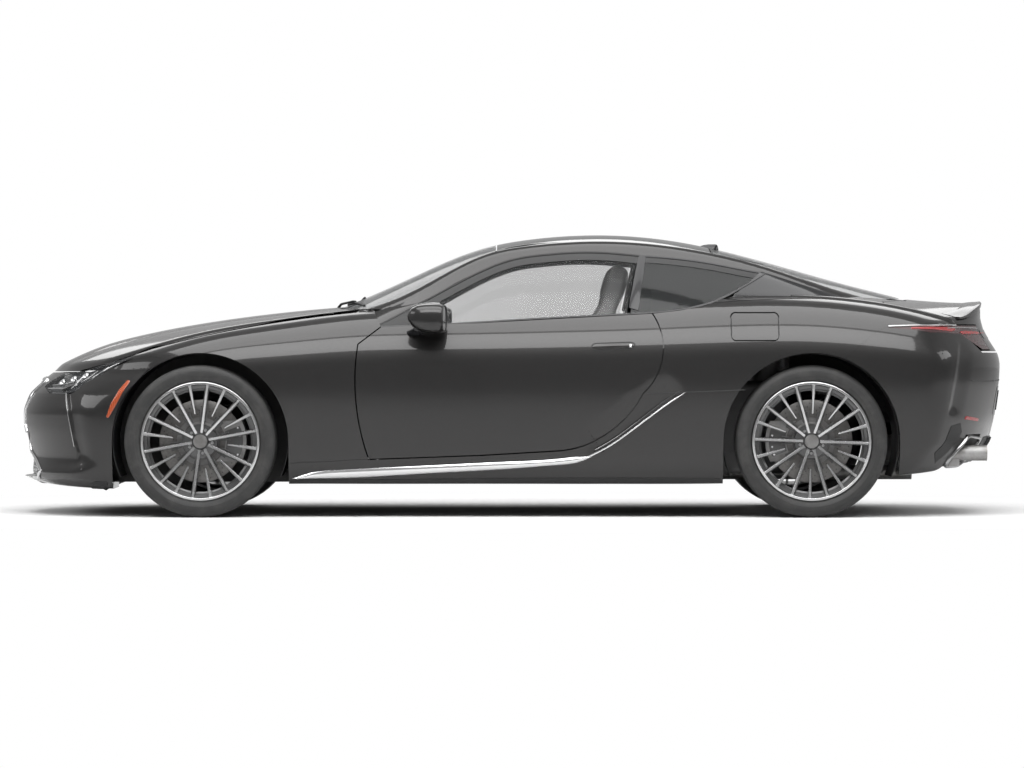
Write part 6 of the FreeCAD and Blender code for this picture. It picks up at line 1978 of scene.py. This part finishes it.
Form().turn(((0.680, 0.0), (0.680, 0.026), (0.706, 0.024), (0.708, 0.0)), (-1.880, 0.365, 0), 28, closed=False,
            axis="z").piece(
    "coolant_cap", PLASTIC)
radiator = Form().block((-2.132, -0.440, 0.384), (-2.096, 0.440, 0.640), 0.006)
radiator.block((-2.140, -0.452, 0.640), (-2.086, 0.452, 0.676), 0.010)
radiator.piece("radiator", CAST)
fins = Form()
for z in np.linspace(0.395, 0.632, 34):
    fins.add([(-2.0955, -0.436, z), (-2.0915, -0.436, z + 0.0014), (-2.0915, 0.436, z + 0.0014), (-2.0955, 0.436, z),
              (-2.0955, -0.436, z + 0.0028), (-2.0955, 0.436, z + 0.0028)],
              [(0, 3, 2, 1), (1, 2, 5, 4), (0, 1, 4), (3, 5, 2)])
fins.piece("radiator_fins", UNDERCOAT, "chassis_metal", smooth=0)
hoses = Form()
for path in (((-2.088, 0.250, 0.600), (-2.000, 0.250, 0.640), (-1.900, 0.200, 0.640), (-1.745, 0.160, 0.600)),
             ((-2.088, -0.400, 0.420), (-1.980, -0.420, 0.380), (-1.850, -0.360, 0.360), (-1.745, -0.260, 0.360)),
             ((-1.870, 0.380, 0.540), (-1.840, 0.400, 0.460), (-1.780, 0.330, 0.420), (-1.740, 0.290, 0.430))):
    knots = np.array(path)
    hoses.tube(curve_through(np.column_stack([np.arange(4.0), knots]), np.linspace(0, 3, 22)).T, 0.019, 14)
hoses.piece("coolant_hoses", RUBBER, "black_plastic", smooth=60)
servo = Form().turn(((-0.718, 0.0), (-0.718, 0.100), (-0.760, 0.118), (-0.800, 0.110), (-0.835, 0.070),
                     (-0.838, 0.024), (-0.960, 0.022), (-0.962, 0.0)), (0, -0.330, 0.640), 44, closed=False, axis="x")
servo.block((-0.955, -0.352, 0.658), (-0.850, -0.308, 0.705), 0.008)
servo.piece("brake_servo", SATIN_BLACK, "chassis_metal", smooth=40)

# aprons between the bay's walls and the wings, with the suspension's upper mounts
APRON = ((-2130, 622), (-1800, 748), (-1460, 822), (-1100, 850), (-705, 878))
apron_rings = []
for x, z in zip(*[np.interp(np.linspace(0, 4, 30), np.arange(5), column) for column in np.array(APRON, float).T]):
    apron_rings.append([(x / 1000, -0.455, z / 1000 - 0.006), (x / 1000, -0.455, z / 1000 + 0.002),
                        (x / 1000, -0.560, z / 1000 - 0.004), (x / 1000, -0.662, z / 1000 - 0.022),
                        (x / 1000, -0.662, z / 1000 - 0.030), (x / 1000, -0.560, z / 1000 - 0.012)])
both_sides(Form().loft(apron_rings), "bay_aprons", PAINT)
MOUNT_X, MOUNT_Y, STUD_REACH = AXLES["front"][0] + 0.03, -0.545, 0.052
mounts = Form().turn(((0.806, 0.0), (0.806, 0.078), (0.836, 0.066), (0.840, 0.050), (0.836, 0.0)),
                     (MOUNT_X, MOUNT_Y, 0), 44, closed=False, axis="z")
for t in around(3):
    centre = (MOUNT_X + STUD_REACH * math.cos(t), MOUNT_Y + STUD_REACH * math.sin(t), 0)
    mounts.turn(((0.838, 0.0), (0.838, 0.008), (0.848, 0.007), (0.848, 0.0)), centre, 6, closed=False, axis="z")
both_sides(mounts, "upper_mounts", CAST)
brace = Form().tube([(-1.430, -0.520, 0.842), (-1.430, -0.440, 0.838), (-1.430, 0.0, 0.826), (-1.430, 0.440, 0.838),
                     (-1.430, 0.520, 0.842)], 0.013, 16)
brace.piece("bay_brace", STEEL, smooth=60)

# lining under the bonnet
x = np.linspace(-1960, -960, 22)
lining = sheet(drawn_in(plain_gap, 46), x, np.interp(x, (-1960, -1700, -960), (400, 500, 420)), 0.006, 31)
lining.piece("bonnet_lining", CARPET, body="bonnet", smooth=50)

# ---------------------------------------------------------------- boot

Form().block((1.356, -0.452, 0.4585), (2.214, 0.452, 0.470), 0.004).piece("boot_mat", CARPET)
Form().block((1.352, -0.455, 0.470), (1.372, 0.455, 0.900), 0.006).piece("boot_front_lining", CARPET)
# ---------------------------------------------------------------- floor, light and camera

# Strength of the room as a light; the camera sees it white, and mirrors see a little of that.
ROOM_LIGHT, MIRRORED = 0.36, 0.15


def seen_rays(tree):
    """1 for the camera's own rays, and a little for mirrored ones."""
    path = add_node(tree, "ShaderNodeLightPath")
    return Value(tree, path.outputs["Is Camera Ray"]).most(Value(tree, path.outputs["Is Glossy Ray"]) * MIRRORED)


def stage():
    """Pale floor, soft studio lamps and the camera."""
    scene = bpy.context.scene
    scene.view_settings.view_transform = "Standard"
    floor_mesh = bpy.data.meshes.new("studio_floor")
    floor_mesh.from_pydata([(-60, -60, 0), (60, -60, 0), (60, 60, 0), (-60, 60, 0)], [], [(0, 1, 2, 3)])
    ground = bpy.data.objects.new("studio_floor", floor_mesh)
    scene.collection.objects.link(ground)
    f = Finish("studio_floor", Roughness=0.9)
    shade = f.noise(0.6, 2)
    f.set("Base Color", f.mix(shade, (0.68, 0.68, 0.68), (0.70, 0.70, 0.70)))
    f.set("Specular IOR Level", 0.0)
    x, y, _ = f.axes()
    seen = seen_rays(f.tree)
    far = ((x * x / 9.5 + y * y / 5.0) ** 0.5).ease(0.62, 1.25)
    pale = f.node("Emission", Color=(1.0, 1.0, 1.0), Strength=1.0)
    blend = f.node("MixShader", n0=seen * far, n1=f.shader.outputs[0], n2=pale.outputs[0])
    feed(f.tree, blend.outputs[0], f.tree.nodes["Material Output"].inputs["Surface"])
    floor_mesh.materials.append(f.material)

    world = bpy.data.worlds.new("studio")
    scene.world = world
    world.use_nodes = True
    tree = world.node_tree
    back = tree.nodes["Background"]
    through = add_node(tree, "ShaderNodeLightPath").outputs["Is Transmission Ray"]
    back.inputs["Color"].default_value = (1.0, 1.0, 1.0, 1.0)
    feed(tree, seen_rays(tree).most(Value(tree, through)) * (1 - ROOM_LIGHT) + ROOM_LIGHT, back.inputs["Strength"])

    def soft_box(name, place, target, width, height, power):
        data = bpy.data.lights.new(name, "AREA")
        data.shape, data.size, data.size_y, data.energy = "RECTANGLE", width, height, power
        lamp = bpy.data.objects.new(name, data)
        lamp.location = place
        lamp.rotation_euler = (Vector(target) - Vector(place)).to_track_quat("-Z", "Y").to_euler()
        scene.collection.objects.link(lamp)

    soft_box("lamp_above", (0, -1.0, 6.6), (0, 0, 0), 9.0, 4.6, 540)
    soft_box("lamp_left", (0.0, -5.2, 5.7), (0, 0, 0.7), 9.5, 3.4, 620)
    soft_box("lamp_right", (0.0, 6.4, 4.2), (0, 0, 0.6), 8.0, 2.6, 110)
    soft_box("lamp_nose", (-7.5, -1.0, 3.8), (0, 0, 0.6), 4.5, 2.0, 100)
    soft_box("lamp_tail", (7.5, -1.0, 3.8), (0, 0, 0.6), 4.5, 2.0, 100)

    data = bpy.data.cameras.new("side_view")
    data.sensor_width, data.lens, data.shift_y = 36.0, 164.8, -0.036
    data.clip_end = 200
    camera = bpy.data.objects.new("side_view", data)
    camera.location = (0.004, -22.9, 0.8)
    camera.rotation_euler = (math.pi / 2, 0, 0)
    scene.collection.objects.link(camera)
    scene.camera = camera


stage()
